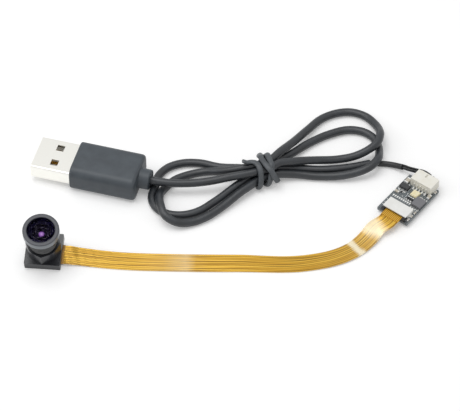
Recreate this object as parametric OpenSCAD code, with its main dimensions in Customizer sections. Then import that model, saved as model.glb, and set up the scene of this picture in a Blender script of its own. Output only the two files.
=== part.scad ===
// USB camera module: a fixed-focus lens head on a flex circuit, a driver board with a flex
// connector and a cable header, and a tied USB cable with its plug.
// Millimetres, +Z up. The origin is at the middle of the footprint of the head, the flex and
// the board, on the surface that the module lies on.

/* [Lens holder] */
// Side of the square base of the lens holder
base_w = 10.2; // [9.6:0.1:12]
// Height of the base
base_h = 2.5; // [2.3:0.1:3.2]
// Outer diameter of the round tower
tower_d = 9.1; // [8.8:0.1:9.6]
// Height of the tower's rim above the underside of the base
tower_h = 6.4; // [5:0.1:7]
// Distance from the tower's axis to the edge of each corner rib
rib_reach = 5; // [4.8:0.05:5.4]
// Side of the square chamber over the image sensor
chamber_w = 7.2; // [6.8:0.1:7.6]
// Height of the chamber's roof above the underside of the base
chamber_top = 1.9; // [1.8:0.1:2.2]

/* [Lens] */
// Diameter of the threaded part of the lens barrel
barrel_d = 8; // [7.6:0.1:8.2]
// Height of the barrel's lower end above the underside of the base
barrel_low = 4; // [3.2:0.1:4.6]
// Diameter of the front flange
flange_d = 10.3; // [9.6:0.1:12]
// Thickness of the front flange
flange_t = 2; // [1.8:0.1:2.6]
// Height of the flange's front face above the underside of the base
lens_top = 13.6; // [13:0.1:15]
// Diameter of the front glass
glass_d = 7.8; // [7.4:0.1:8.2]
// Thickness of the front glass at its rim
glass_rim = 0.9; // [0.7:0.1:1.1]
// Depth of the glass rim below the flange's front face
glass_sink = 0.5; // [0.4:0.1:0.6]
// Rise of the front glass from its rim to its middle
glass_dome = 0.45; // [0.3:0.05:0.6]
// Diameter of the bore that holds the inner elements
stack_d = 6; // [5.6:0.1:6.2]
// Height of the ledge that the inner elements rest on, above the barrel's lower end
ledge_h = 1; // [0.8:0.1:1.4]
// Diameter of the light path through the ledge
ledge_d = 4.4; // [4:0.1:4.8]
// Diameter of the opening in the stop ring
stop_d = 3.8; // [3:0.1:4.2]
// Thickness of the stop ring
stop_t = 1.2; // [1:0.1:1.4]
// Thickness of the middle element
middle_t = 1.6; // [1.4:0.1:1.8]
// Thickness of the spacer between the middle and rear elements
spacer_t = 0.8; // [0.6:0.1:1]

/* [Sensor] */
// Side of the square image sensor package
sensor_w = 4.6; // [4:0.1:5]
// Height of the image sensor package
sensor_h = 0.7; // [0.6:0.05:0.8]
// Side of the square infrared filter
filter_w = 6; // [5.6:0.1:6.4]
// Thickness of the infrared filter
filter_t = 0.3; // [0.2:0.05:0.4]
// Thickness of the stiffener plate under the flex circuit
stiffener_t = 0.3; // [0.2:0.05:0.4]
// Width of the stiffener's neck, where the flex circuit leaves the holder
neck_w = 6; // [5.8:0.1:6.4]
// Reach of the neck beyond the holder base
neck_reach = 0.6; // [0.4:0.1:2]
// Setback of the flex circuit's head from the base's front face
tab_front = 1.3; // [1.1:0.1:1.5]
// Setback of the flex circuit's head from the base's rear face
tab_rear = 0.9; // [0.7:0.1:1.1]

/* [Flex circuit] */
// Width of the flex circuit
flex_w = 5.8; // [5.6:0.1:6]
// Width of the flex circuit at the board connector
flex_tail_w = 5.6; // [5:0.1:5.8]
// Thickness of the flex circuit
flex_t = 0.2; // [0.15:0.01:0.25]
// Thickness of the stiffening film on the tail
film_t = 0.15; // [0.1:0.01:0.2]
// Length of the stiffening film outside the connector
film_out = 2.4; // [2:0.1:3]

/* [Driver board] */
// Width of the board
board_w = 10.4; // [10:0.1:12]
// Length of the board
board_l = 16; // [15.8:0.1:18]
// Thickness of the board
board_t = 0.8; // [0.6:0.1:1.2]
// Side of the square camera controller under the board
controller_w = 6; // [5:0.5:7]
// Height of the camera controller
controller_h = 0.85; // [0.7:0.05:1]

/* [Flex connector] */
// Width of the connector housing
zif_w = 7.9; // [7.7:0.1:8.4]
// Depth of the connector housing
zif_l = 3.9; // [3.6:0.1:4.3]
// Height of the connector housing
zif_h = 1.5; // [1.4:0.05:1.8]
// Setback of the housing from the board's front edge
zif_front = 0.75; // [0.5:0.05:1]
// Thickness of the housing's roof
zif_roof = 0.3; // [0.25:0.05:0.4]
// Thickness of the housing's floor
zif_floor = 0.2; // [0.15:0.05:0.3]
// Thickness of the slider's bar and tongue
slider_t = 0.3; // [0.2:0.05:0.35]
// Travel of the slider from locked to open
slider_travel = 0.8; // [0.5:0.1:1]
// Reach of the slider's ears in front of the housing
ear_reach = 1.2; // [0.8:0.1:1.4]

/* [Cable header] */
// Number of circuits in the header
ways = 5; // [4:1:6]
// Spacing of the circuits
pitch = 1; // [1:0.05:1.25]
// Depth of the header housing
header_l = 4.25; // [4:0.05:4.6]
// Height of the header housing
header_h = 2.9; // [2.7:0.1:3.2]
// Wall of the header housing
header_wall = 0.5; // [0.4:0.05:0.6]
// Reach of the plug housing behind the header
plug_out = 0.5; // [0.4:0.1:1.2]

/* [USB plug] */
// Width of the plug's metal shell
shell_w = 12; // [12:0.05:12.1]
// Height of the plug's metal shell
shell_h = 4.5; // [4.4:0.05:4.5]
// Length of the shell in front of the overmould
shell_out = 11.7; // [11:0.1:12.5]
// Length of the shell inside the overmould
shell_in = 6; // [5:0.5:8]
// Thickness of the shell's sheet
shell_t = 0.3; // [0.25:0.05:0.35]
// Side of the square windows in the shell
window_w = 2.2; // [2:0.1:2.5]
// Thickness of the insulating tongue
tongue_t = 1.85; // [1.7:0.05:1.95]
// Length of the overmould
mould_l = 19.4; // [18:0.1:24]
// Width of the overmould
mould_w = 13.6; // [13.4:0.1:16]
// Thickness of the overmould
mould_t = 8; // [7.6:0.1:9]
// Radius of the overmould's long edges
mould_r = 2.4; // [2:0.1:3]
// Diameter of the strain relief
relief_d = 5.9; // [4:0.1:6]
// Length of the strain relief behind the overmould
relief_l = 3.1; // [2:0.1:3]

/* [Cable] */
// Diameter of the cable's jacket
cable_d = 2.4; // [2.2:0.1:2.4]
// Diameter of the thin sleeve at the board end
sleeve_d = 1.7; // [1.5:0.1:1.8]
// Diameter of one insulated wire
wire_d = 0.5; // [0.4:0.02:0.52]
// Width of the twist tie
tie_w = 1.7; // [1.3:0.1:1.8]
// Thickness of the twist tie
tie_t = 1.1; // [0.9:0.05:1.15]

/* [Hidden] */
$fn = 64;

// Clearance between pieces that are assembled by hand or by machine
fit_gap = 0.05;
// Overlap that makes a cut break cleanly through a face
cut = 0.1;

// ---- Where the head, the board and the plug lie ----

// The head rests on the front edge of its base and leans towards that edge
head_at = [-53.6, -15.6];
head_turn = -5;
head_lean = 12;
// Front left corner of the board
board_at = [40.75, 5.95];
board_turn = -38;
// Tip of the plug's shell; the plug points away from the board
plug_at = [-56.7, 23.4];
plug_turn = -15.5;

module at_head() {
    translate([head_at.x, head_at.y, 0]) rotate([0, 0, head_turn]) rotate([head_lean, 0, 0])
        children();
}

module at_lens() {
    at_head() translate([0, base_w / 2, 0]) children();
}

module at_board(z = 0) {
    translate([board_at.x, board_at.y, z]) rotate([0, 0, board_turn]) children();
}

module at_plug() {
    translate([plug_at.x, plug_at.y, mould_t / 2]) rotate([0, 0, plug_turn]) children();
}

// The same places as points, for the pieces that run between them
function turned(p, a) = [p.x * cos(a) - p.y * sin(a), p.x * sin(a) + p.y * cos(a), p.z];
function leaned(p, a) = [p.x, p.y * cos(a) - p.z * sin(a), p.y * sin(a) + p.z * cos(a)];
function head_point(x, y, z) =
    [head_at.x, head_at.y, 0] + turned(leaned([x, y, z], head_lean), head_turn);
function board_point(x, y, z) = [board_at.x, board_at.y, 0] + turned([x, y, z], board_turn);
function plug_point(x, y) = [plug_at.x, plug_at.y, mould_t / 2] + turned([x, y, 0], plug_turn);

// ---- Shared shapes ----

// A rectangle with round corners, centred on the origin
module round_rect(w, h, r) {
    square([w - 2 * r, h], center = true);
    square([w, h - 2 * r], center = true);
    for (x = [-1, 1], y = [-1, 1])
        translate([x * (w / 2 - r), y * (h / 2 - r)]) circle(r);
}

module block(low, size) {
    translate(low) cube(size);
}

// A disc with a hole
module ring(outer_d, inner_d, h) {
    difference() {
        cylinder(d = outer_d, h = h);
        translate([0, 0, -cut]) cylinder(d = inner_d, h = h + 2 * cut);
    }
}

// A lens: a disc whose upper face is a dome of the given rise
module dome_lens(d, rim, rise) {
    sphere_r = (d * d / 4 + rise * rise) / (2 * rise);
    cylinder(d = d, h = rim);
    intersection() {
        cylinder(d = d, h = rim + rise);
        translate([0, 0, rim + rise - sphere_r]) sphere(sphere_r, $fn = 128);
    }
}

// A two-ended chip part lying along X, centred on the origin
module chip_part(l, w, h) {
    translate([-l / 2, -w / 2, 0]) cube([l, w, h]);
}

// ---- Round and oval sections swept along points ----

function unit(v) = v / norm(v);
function heading(p, i) = unit(p[min(i + 1, len(p) - 1)] - p[max(i - 1, 0)]);
// One side vector for each point, carried along without twist
function sides_along(p, v, i = 0) =
    i == len(p) ? [] :
    let (t = heading(p, i), s = unit(v - t * (v * t)))
    concat([s], sides_along(p, s, i + 1));
function ring_points(c, t, s, w, h, n) =
    let (q = cross(t, s))
    [for (k = [0:n - 1]) c + w / 2 * cos(360 * k / n) * s + h / 2 * sin(360 * k / n) * q];
// The faces that join m rings of n points and close both ends. The sides are triangles,
// because four points of a twisted strip don't lie in one plane.
function skin(m, n) = concat(
    [[for (k = [0:n - 1]) k]],
    [[for (k = [n - 1:-1:0]) (m - 1) * n + k]],
    [for (i = [0:m - 2], k = [0:n - 1])
        [i * n + k, (i + 1) * n + k, (i + 1) * n + (k + 1) % n]],
    [for (i = [0:m - 2], k = [0:n - 1])
        [i * n + k, (i + 1) * n + (k + 1) % n, i * n + (k + 1) % n]]);

// The section is w wide along the side vectors and h thick
module swept(p, sides, w, h, n = 8) {
    polyhedron([for (i = [0:len(p) - 1]) each ring_points(p[i], heading(p, i), sides[i], w, h, n)],
               skin(len(p), n), convexity = 12);
}

module tube(p, d, n = 8) {
    swept(p, sides_along(p, [0, 0, 1]), d, d, n);
}

// ---- Lens head ----

// The barrel's seats, measured from the underside of the holder base
flange_low = lens_top - flange_t;
glass_seat = lens_top - glass_sink - glass_rim;
ledge_z = barrel_low + ledge_h;
middle_low = glass_seat - stop_t - middle_t;
spacer_low = middle_low - spacer_t;
rear_t = spacer_low - ledge_z;
// A real barrel has a fine thread here; its crests are at barrel_d
thread_relief = 0.4;
flange_chamfer = 0.2;

module lens_barrel() color([0.10, 0.10, 0.11]) at_lens() {
    rotate_extrude(convexity = 8) polygon([
        [ledge_d / 2, barrel_low],
        [barrel_d / 2 - thread_relief / 2, barrel_low],
        [barrel_d / 2, barrel_low + thread_relief],
        [barrel_d / 2, flange_low - thread_relief],
        [barrel_d / 2 - thread_relief / 2, flange_low - thread_relief],
        [barrel_d / 2 - thread_relief / 2, flange_low],
        [flange_d / 2, flange_low],
        [flange_d / 2, lens_top - flange_chamfer],
        [flange_d / 2 - flange_chamfer, lens_top],
        [glass_d / 2 + fit_gap, lens_top],
        [glass_d / 2 + fit_gap, glass_seat],
        [stack_d / 2 + fit_gap, glass_seat],
        [stack_d / 2 + fit_gap, ledge_z],
        [ledge_d / 2, ledge_z]]);
}

module front_lens() color([0.12, 0.09, 0.22, 0.9]) at_lens()
    translate([0, 0, glass_seat]) dome_lens(glass_d, glass_rim, glass_dome);

// A conical black ring that sets the light path between the front and middle elements
module stop_ring() color([0.2, 0.19, 0.23]) at_lens()
    translate([0, 0, glass_seat - stop_t]) rotate_extrude() polygon([
        [stop_d / 2, 0], [stack_d / 2, 0], [stack_d / 2, stop_t], [stop_d / 2 + stop_t / 2, stop_t]]);

module middle_lens() color([0.45, 0.3, 0.55, 0.8]) at_lens()
    translate([0, 0, middle_low]) dome_lens(stack_d, middle_t - glass_dome, glass_dome);

module lens_spacer() color([0.1, 0.1, 0.1]) at_lens()
    translate([0, 0, spacer_low]) ring(stack_d, ledge_d, spacer_t);

module rear_lens() color([0.6, 0.65, 0.75, 0.7]) at_lens()
    translate([0, 0, ledge_z]) cylinder(d = stack_d, h = rear_t);

// The holder's underside has a recess for the flex circuit's head and its stiffener
recess_h = stiffener_t + flex_t;
tab_w = base_w - 2;
tab_depth = base_w - tab_front - tab_rear;
ribbon_y = tab_front + 0.5 + neck_w / 2;

// The flex circuit's head, or its stiffener: a square under the sensor and a neck to one side
module tab(h, gap = 0, reach = neck_reach) {
    block([-tab_w / 2 - gap, tab_front - gap, 0], [tab_w + 2 * gap, tab_depth + 2 * gap, h]);
    block([0, ribbon_y - neck_w / 2 - gap, 0], [base_w / 2 + reach, neck_w + 2 * gap, h]);
}

module rib_section() {
    // Flat flanks that leave the round tower along its tangents and meet at the edge
    a = acos(tower_d / 2 / rib_reach);
    for (turn = [0:90:270]) rotate(turn)
        polygon([[0, 0], tower_d / 2 * [cos(a), -sin(a)], [rib_reach, 0],
                 tower_d / 2 * [cos(a), sin(a)]]);
}

module lens_holder() color([0.22, 0.23, 0.25]) at_lens() {
    difference() {
        union() {
            linear_extrude(base_h) round_rect(base_w, base_w, 0.3);
            linear_extrude(tower_h) {
                circle(d = tower_d);
                rib_section();
            }
        }
        // Threaded bore of the tower
        translate([0, 0, chamber_top]) cylinder(d = barrel_d + 2 * fit_gap, h = tower_h);
        // Chamber over the sensor
        block([-chamber_w / 2, -chamber_w / 2, -cut], [chamber_w, chamber_w, chamber_top + cut]);
        // Recess for the flex circuit's head, open on the side that it leaves by
        translate([0, -base_w / 2, -cut]) tab(recess_h + cut, fit_gap, base_w);
    }
    // Ledge under the tower that the filter is glued to
    translate([0, 0, chamber_top]) difference() {
        cylinder(d = barrel_d + 2 * fit_gap, h = base_h - chamber_top);
        translate([0, 0, -cut]) cylinder(d = ledge_d, h = base_h);
    }
}

module ir_filter() color([0.75, 0.45, 0.5, 0.6]) at_lens()
    block([-filter_w / 2, -filter_w / 2, chamber_top - filter_t], [filter_w, filter_w, filter_t]);

module image_sensor() color([0.16, 0.18, 0.2]) at_lens()
    block([-sensor_w / 2, -sensor_w / 2, recess_h], [sensor_w, sensor_w, sensor_h]);

module sensor_capacitors() color([0.72, 0.6, 0.45]) at_lens()
    for (x = [-1, 1], y = [-1, 1])
        translate([x * (sensor_w + chamber_w) / 4, y * chamber_w / 4, recess_h]) rotate(90)
            chip_part(1, 0.5, 0.5);

module head_stiffener() color([0.66, 0.62, 0.6]) at_head() tab(stiffener_t);

// ---- Flex circuit ----

// Height of the flex circuit's middle in the connector, above the board's top
board_top = controller_h + board_t;
zif_mid = board_w / 2 + 0.2;
flex_low = zif_floor + 0.15;
flex_z = board_top + flex_low + flex_t / 2;
flex_depth = 2.6;
tab_z = stiffener_t + flex_t / 2;
// Middle of the ribbon and its sideways tilt in degrees, from the head to the connector
ribbon_run = [
    [-43.5, -11.7, 0.9, 8], [-39, -12.2, 0.6, 6], [-34, -12.8, 0.5, 5], [-28, -13.3, 0.5, 5],
    [-20, -13.6, 0.5, 5], [-12, -13.8, 0.5, 5], [-4, -13.9, 0.5, 5], [3, -13.9, 0.45, 4],
    [8, -14, 0.3, 2], [13, -14.1, 0.25, 0], [18, -13.9, 0.25, 0], [23, -13.1, 0.25, -1],
    [27, -12.1, 0.3, -2], [30.5, -10.7, 0.35, -3], [33.4, -9, 0.4, -3], [36, -6.8, 0.5, -2],
    [38.3, -4.2, 0.8, -1], [40.2, -1.6, 1.3, 0]];
function tail_point(y) = board_point(zif_mid, zif_front + y, flex_z);
ribbon_mid = concat(
    [head_point(base_w / 2 + neck_reach - 0.3, ribbon_y, tab_z)],
    [head_point(base_w / 2 + neck_reach + 1, ribbon_y, tab_z)],
    [for (p = ribbon_run) [p.x, p.y, p.z]],
    [tail_point(-film_out - 1), tail_point(-film_out), tail_point(0), tail_point(flex_depth)]);
ribbon_tilt = concat([head_lean, head_lean], [for (p = ribbon_run) p[3]], [0, 0, 0, 0]);
ribbon_w = concat([for (p = ribbon_mid) flex_w]);

// A flat strip with one four-cornered section at each point of the ribbon
function strip_section(c, t, tilt, w, h) =
    let (flat = unit([-t.y, t.x, 0]),
         up = cross(t, flat),
         across = cos(tilt) * flat + sin(tilt) * up,
         out = cross(t, across))
    [c - across * w / 2 - out * h / 2, c + across * w / 2 - out * h / 2,
     c + across * w / 2 + out * h / 2, c - across * w / 2 + out * h / 2];
function strip_w(i, m) = i < m - 4 ? flex_w : flex_tail_w;

module flex_circuit() color([0.82, 0.58, 0.2]) {
    m = len(ribbon_mid);
    at_head() translate([0, 0, stiffener_t]) tab(flex_t);
    polyhedron([for (i = [0:m - 1])
                    each strip_section(ribbon_mid[i], heading(ribbon_mid, i), ribbon_tilt[i],
                                       strip_w(i, m), flex_t * 0.9)],
               skin(m, 4), convexity = 6);
}

// Stiffening film on top of the tail, under the slider
module tail_film() color([0.8, 0.5, 0.12]) at_board(flex_z + 0.45 * flex_t)
    block([zif_mid - flex_tail_w / 2, zif_front - film_out, 0],
          [flex_tail_w, film_out + flex_depth, film_t]);

// ---- Driver board ----

module driver_board() color([0.2, 0.23, 0.23]) at_board(controller_h)
    linear_extrude(board_t) translate([board_w / 2, board_l / 2]) round_rect(board_w, board_l, 0.25);

module camera_controller() color([0.12, 0.12, 0.13]) at_board(0)
    block([(board_w - controller_w) / 2, (board_l - controller_w) / 2, 0],
          [controller_w, controller_w, controller_h]);

// A chip with gull-wing leads on its front and rear sides
module lead_row(count, step, w, out, rise) {
    for (i = [0:count - 1])
        translate([(i - (count - 1) / 2) * step - w / 2, 0, 0]) {
            cube([w, out, 0.12]);
            translate([0, out - 0.12, 0]) cube([w, 0.12, rise]);
            translate([0, out - 0.12, rise - 0.12]) cube([w, 0.42, 0.12]);
        }
}

module leaded_chip(w, l, h, front, rear, step) {
    lead_out = 0.7;
    difference() {
        block([-w / 2, -l / 2, 0.08], [w, l, h - 0.08]);
        // Seats of the leads in the body
        for (turn = [0, 180]) rotate(turn)
            block([-w / 2 - cut, -l / 2 - cut, 0.2], [w + 2 * cut, 0.3 + cut, 0.16]);
    }
    translate([0, -l / 2 - lead_out + 0.12, 0]) lead_row(front, step, 0.32, lead_out, 0.34);
    rotate(180) translate([0, -l / 2 - lead_out + 0.12, 0])
        lead_row(rear, step, 0.32, lead_out, 0.34);
}

// Middles of the larger parts on the board
flash_at = [8.65, 8.2];
regulator_at = [1.9, 11];
crystal_at = [5.85, 10.6];

module flash_memory() color([0.33, 0.33, 0.35]) at_board(board_top)
    translate(flash_at) leaded_chip(3, 3.3, 0.95, 4, 4, 0.75);

module voltage_regulator() color([0.2, 0.2, 0.2]) at_board(board_top)
    translate(regulator_at) leaded_chip(2.9, 1.6, 0.95, 3, 2, 0.95);

module crystal() color([0.95, 0.9, 0.72]) at_board(board_top)
    translate(crystal_at) {
        linear_extrude(0.45) round_rect(2.3, 2.3, 0.15);
        translate([0, 0, 0.45]) linear_extrude(0.2) round_rect(2, 2, 0.3);
    }

// Two-ended chip parts: middle on the board, length, width, height and turn
capacitor_list = [
    [[1.2, 13.4], 2, 1.25, 0.8, 90], [[9.65, 12], 1.6, 0.8, 0.7, 90],
    [[10.05, 14.6], 1, 0.5, 0.5, 90], [[1, 8.3], 1.6, 0.8, 0.6, 0],
    [[9.9, 1.4], 1, 0.5, 0.5, 90], [[9.9, 3], 1, 0.5, 0.5, 90], [[9.9, 4.6], 1, 0.5, 0.5, 90]];
resistor_list = [
    [[4.9, 8.1], 1.6, 0.5, 0.4, 90], [[5.65, 8.1], 1.6, 0.5, 0.4, 90],
    [[6.4, 8.1], 1.6, 0.5, 0.4, 90], [[2.2, 9.1], 1, 0.5, 0.35, 0],
    [[8.6, 12.4], 1, 0.5, 0.35, 0]];

module chip_parts(list) {
    for (c = list) translate(c[0]) rotate(c[4]) chip_part(c[1], c[2], c[3]);
}

module capacitors() color([0.78, 0.74, 0.68]) at_board(board_top) chip_parts(capacitor_list);

module resistors() color([0.2, 0.2, 0.22]) at_board(board_top) chip_parts(resistor_list);

// ---- Flex connector ----

mouth_w = flex_tail_w + 0.4;
ear_w = (zif_w - mouth_w) / 2 - fit_gap;
pocket_l = 0.9;
mouth_l = flex_depth + 0.2;
tongue_z = zif_h - zif_roof - fit_gap - slider_t;
zif_contact_x = [for (i = [0:9]) (i - 4.5) * 0.5];
zif_contact_w = 0.18;
zif_contact_t = 0.12;
zif_groove_w = 0.22;

module at_zif() {
    at_board(board_top) translate([zif_mid, zif_front, 0]) children();
}

module zif_housing() color([0.93, 0.93, 0.9]) at_zif() difference() {
    block([-zif_w / 2, 0, 0], [zif_w, zif_l, zif_h]);
    // Full-width pocket for the slider's bar and ears
    block([-zif_w / 2 - cut, -cut, zif_floor], [zif_w + 2 * cut, pocket_l + cut,
                                                zif_h - zif_roof - zif_floor]);
    // Mouth for the flex circuit and the slider's tongue
    block([-mouth_w / 2, 0, zif_floor], [mouth_w, mouth_l, zif_h - zif_roof - zif_floor]);
    // Grooves for the contacts, from the mouth to the rear face
    for (x = zif_contact_x)
        block([x - zif_groove_w / 2, pocket_l, -cut], [zif_groove_w, zif_l, flex_low + cut]);
}

// The bar's ears stand in front of the housing, where a fingernail pulls it open
module zif_slider() color([0.09, 0.09, 0.09]) at_zif() {
    block([-zif_w / 2, 0.1, tongue_z], [zif_w, pocket_l - 0.1 - fit_gap, slider_t]);
    block([-mouth_w / 2 + fit_gap, 0.1, tongue_z],
          [mouth_w - 2 * fit_gap, mouth_l - 0.3, slider_t]);
    for (x = [-zif_w / 2, zif_w / 2 - ear_w])
        block([x, pocket_l - fit_gap - ear_reach - 0.6, zif_floor + fit_gap],
              [ear_w, ear_reach + 0.6, tongue_z + slider_t - zif_floor - fit_gap]);
}

// Each contact is a spring under the flex circuit, a riser and a tail on the board
module zif_contacts() color([0.85, 0.8, 0.6]) at_zif() for (x = zif_contact_x)
    translate([x - zif_contact_w / 2, 0, 0]) {
        block([0, pocket_l + fit_gap, flex_low - 0.15],
              [zif_contact_w, zif_l + zif_contact_t - pocket_l - fit_gap, zif_contact_t]);
        block([0, pocket_l + 0.3, flex_low - 0.05], [zif_contact_w, 0.5, 0.04]);
        block([0, zif_l, 0], [zif_contact_w, zif_contact_t, flex_low - 0.03]);
        block([0, zif_l, 0], [zif_contact_w, 0.9, zif_contact_t]);
    }

hold_down_w = 0.3;

module zif_hold_downs() color([0.8, 0.8, 0.78]) at_zif()
    for (x = [-zif_w / 2 - hold_down_w, zif_w / 2])
        block([x, 1.6, 0], [hold_down_w, 1.2, 0.3]);

// ---- Cable header and its plug ----

header_w = (ways - 1) * pitch + 3;
header_x = 5.9;
header_y = 12.9;
plug_w = header_w - 2 * header_wall - 2 * fit_gap;
plug_h = header_h - 2 * header_wall - 2 * fit_gap;
wire_z = header_h / 2;
header_back = 0.8;

module at_header() {
    at_board(board_top) translate([header_x, header_y, 0]) children();
}

module header_housing() color([0.93, 0.92, 0.86]) at_header() difference() {
    block([-header_w / 2, 0, 0], [header_w, header_l, header_h]);
    block([-header_w / 2 + header_wall, header_back, header_wall],
          [header_w - 2 * header_wall, header_l, header_h - 2 * header_wall]);
    // Keyway in the roof and holes for the pins
    block([-0.5, header_l - 1.6, header_h - header_wall - cut], [1, 2, header_wall + 2 * cut]);
    for (i = [0:ways - 1])
        block([(i - (ways - 1) / 2) * pitch - 0.15, -cut, wire_z - 0.15], [0.3, 2, 0.3]);
}

module header_pins() color([0.85, 0.82, 0.7]) at_header() for (i = [0:ways - 1])
    translate([(i - (ways - 1) / 2) * pitch - 0.15, 0, 0]) {
        block([0, -0.3, wire_z - 0.15], [0.3, header_l - 0.6, 0.3]);
        block([0, -0.3, 0], [0.3, 0.25, wire_z]);
        block([0, -0.8, 0], [0.3, 0.6, 0.15]);
    }

module header_hold_downs() color([0.85, 0.85, 0.82]) at_header()
    for (x = [-header_w / 2 - hold_down_w, header_w / 2])
        block([x, 1.2, 0], [hold_down_w, 1.6, 0.5]);

crimp_w = 0.62;
crimp_l = 2.4;

module cable_plug_housing() color([0.95, 0.95, 0.92]) at_header() difference() {
    block([-plug_w / 2, header_back + fit_gap, header_wall + fit_gap],
          [plug_w, header_l - header_back + plug_out, plug_h]);
    // One cavity for each crimped contact, open to the rear, with a hole for its pin
    for (i = [0:ways - 1]) translate([(i - (ways - 1) / 2) * pitch, 0, wire_z]) {
        block([-crimp_w / 2 - fit_gap, header_l + plug_out - crimp_l, -crimp_w / 2 - fit_gap],
              [crimp_w + 2 * fit_gap, crimp_l + 1, crimp_w + 2 * fit_gap]);
        block([-0.2, 0, -0.2], [0.4, header_l, 0.4]);
    }
}

module cable_plug_crimps() color([0.85, 0.83, 0.75]) at_header() for (i = [0:ways - 1])
    translate([(i - (ways - 1) / 2) * pitch, header_l + plug_out - crimp_l, wire_z])
        difference() {
            block([-crimp_w / 2, 0, -crimp_w / 2], [crimp_w, crimp_l - 0.4, crimp_w]);
            block([-0.2, -cut, -0.2], [0.4, crimp_l / 2, 0.4]);
        }

// ---- Cable ----

// Frame of the tied bundle: along it, across it and up
tie_at = [8.6, 19, 0];
tie_turn = 22;
function tie_point(t, s, z) = tie_at + turned([t, s, z], tie_turn);
// Five strands pass the tie: three on the tie's underside and two in the hollows on top
strand_gap = cable_d + 0.1;
strand_low = tie_t + cable_d / 2 + 0.2;
strand_top = strand_low + strand_gap * 0.9;
function low_pass(t, side) = tie_point(t, side * strand_gap, strand_low);
function top_pass(t, side) = tie_point(t, side * strand_gap / 2, strand_top);

// The cable leaves the plug, passes the tie five times in loops laid on and under each other,
// and its jacket ends under the last loop
lie = cable_d / 2;
loop_1 = [
    [13, 20.1, 4.8], [16.8, 21.1, 4.3], [20, 22, 3.7], [23.5, 22.8, 3], [29.5, 23.7, 2.3],
    [35, 24.7, 2.7], [39, 26.4, 3.6], [41.5, 28.6, 4.1], [42.5, 31.8, 3.9], [42.4, 35.2, 2.6],
    [41.2, 38.6, 1.6], [38.7, 41.8, lie], [34.5, 43.5, lie], [30, 43, lie], [26, 41, lie],
    [21.7, 36, 1.8], [17.2, 29.5, 3.45], [13.4, 24.5, 4.85]];
loop_2 = [
    [0, 18.4, 3.8], [-4, 18.8, 2.7], [-8, 19.6, 1.6], [-12.5, 18.9, lie], [-17, 16.7, lie],
    [-20, 13.2, lie], [-21.2, 9.2, 2.8], [-20.9, 5.3, 3.85], [-19.3, 1.2, 3.3],
    [-16.4, -0.1, 2.2], [-12, 0.7, lie], [-8, 2.6, lie], [-3, 6.6, 1.5], [2, 11.2, 2.3],
    [5.4, 14.1, 2.5]];
loop_3 = [
    [18, 18.6, 1.6], [24, 18.2, lie], [34, 18.3, 2.2], [39, 19.9, 3.2],
    [41.5, 22.9, 3.35], [42.1, 26.4, 2.1], [42, 30, lie], [40.6, 33.4, lie], [37.8, 35.6, lie],
    [34, 36.4, lie], [28, 34.7, lie], [22, 31.2, 1.2], [16, 26, 1.8]];
loop_4 = [
    [1, 20.6, 2.1], [-4, 21.5, 1.4], [-10, 23.3, lie], [-15, 23.2, lie], [-19.3, 21.3, lie],
    [-21.9, 17.8, lie], [-22.5, 14.4, lie], [-23.5, 10, lie], [-22.4, 6.6, lie],
    [-19.6, 4.1, lie], [-15, 3.3, lie], [-11, 4.3, lie], [-5, 8.7, 1.4], [0.7, 13.8, 2]];
jacket_end = [39.4, 23.1, lie];
sleeve_run = [[42, 23.4, 0.9], [44.5, 23.2, 0.9], [46.8, 22.4, 1.2]];
sleeve_end = [48.8, 21.1, 1.9];
cable_path = concat(
    [plug_point(shell_out + mould_l + relief_l, 0)],
    [plug_point(shell_out + mould_l + relief_l + 2.6, 0)],
    [[-13, 13.2, 3.8], [-7, 13.7, 4.1], [-1, 14.9, 4.6]],
    [top_pass(-3.5, -1), top_pass(2.2, -1)], loop_1,
    [top_pass(2.2, 1), top_pass(-3.5, 1)], loop_2,
    [low_pass(-2.7, -1), low_pass(3, -1)], loop_3,
    [low_pass(3, 1), low_pass(-3, 1)], loop_4,
    [low_pass(-3, 0), low_pass(3, 0)],
    [[17.5, 21.1, 1.5], [25, 20.7, lie], [34, 21.7, lie]], [jacket_end]);

module usb_cable() color([0.12, 0.12, 0.13]) tube(cable_path, cable_d);

// The sleeve goes on straight from the jacket's end
jacket_dir = unit(cable_path[len(cable_path) - 1] - cable_path[len(cable_path) - 2]);

module cable_sleeve() color([0.08, 0.08, 0.08])
    tube(concat([jacket_end, jacket_end + 0.8 * jacket_dir], sleeve_run, [sleeve_end]), sleeve_d);

// The wires leave the plug housing, turn along its rear face and run in one bunch to the
// sleeve. Middle of the bunch: along the board, behind the plug, and above the board.
bunch_run = [[2.9, 0.6, 0.85], [1.6, 0.2, 0.7], [0, -0.25, 0.6], [-1.4, -0.6, 0.5]];
// Places of the five wires in the bunch: backwards and up, in wire spans
places = [[-0.5, 0.5], [-0.5, -0.5], [0.5, 1], [0.5, 0], [0.5, -1]];
wire_span = wire_d * 1.1;
sleeve_dir = unit(sleeve_run[len(sleeve_run) - 1] - sleeve_end);
sleeve_back = unit([sleeve_dir.y, -sleeve_dir.x, 0]);
sleeve_up = cross(sleeve_back, sleeve_dir);
plug_rear = header_y + header_l + plug_out;
function behind(x, back, up) = board_point(x, plug_rear + back, board_top + up);
function wire_x(i) = header_x + (i - (ways - 1) / 2) * pitch;
function wire_path(i) =
    let (x = wire_x(i), g = places[i] * wire_span, m = bunch_run[0] + [0, g[0], g[1]],
         end = sleeve_end + g[0] * sleeve_back + g[1] * sleeve_up)
    concat(
        [behind(x, -0.4, wire_z), behind(x, m.y * 0.5, wire_z)],
        [behind(x - 0.25, m.y * 0.88, wire_z * 0.6 + m.z * 0.4), behind(x - 0.7, m.y, m.z)],
        [for (c = bunch_run) behind(c.x, c.y + g[0], c.z + g[1])],
        [end - 0.6 * sleeve_dir, end]);

module plug_wires() color([0.07, 0.07, 0.07])
    for (i = [0:ways - 1]) tube(wire_path(i), wire_d, 6);

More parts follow.
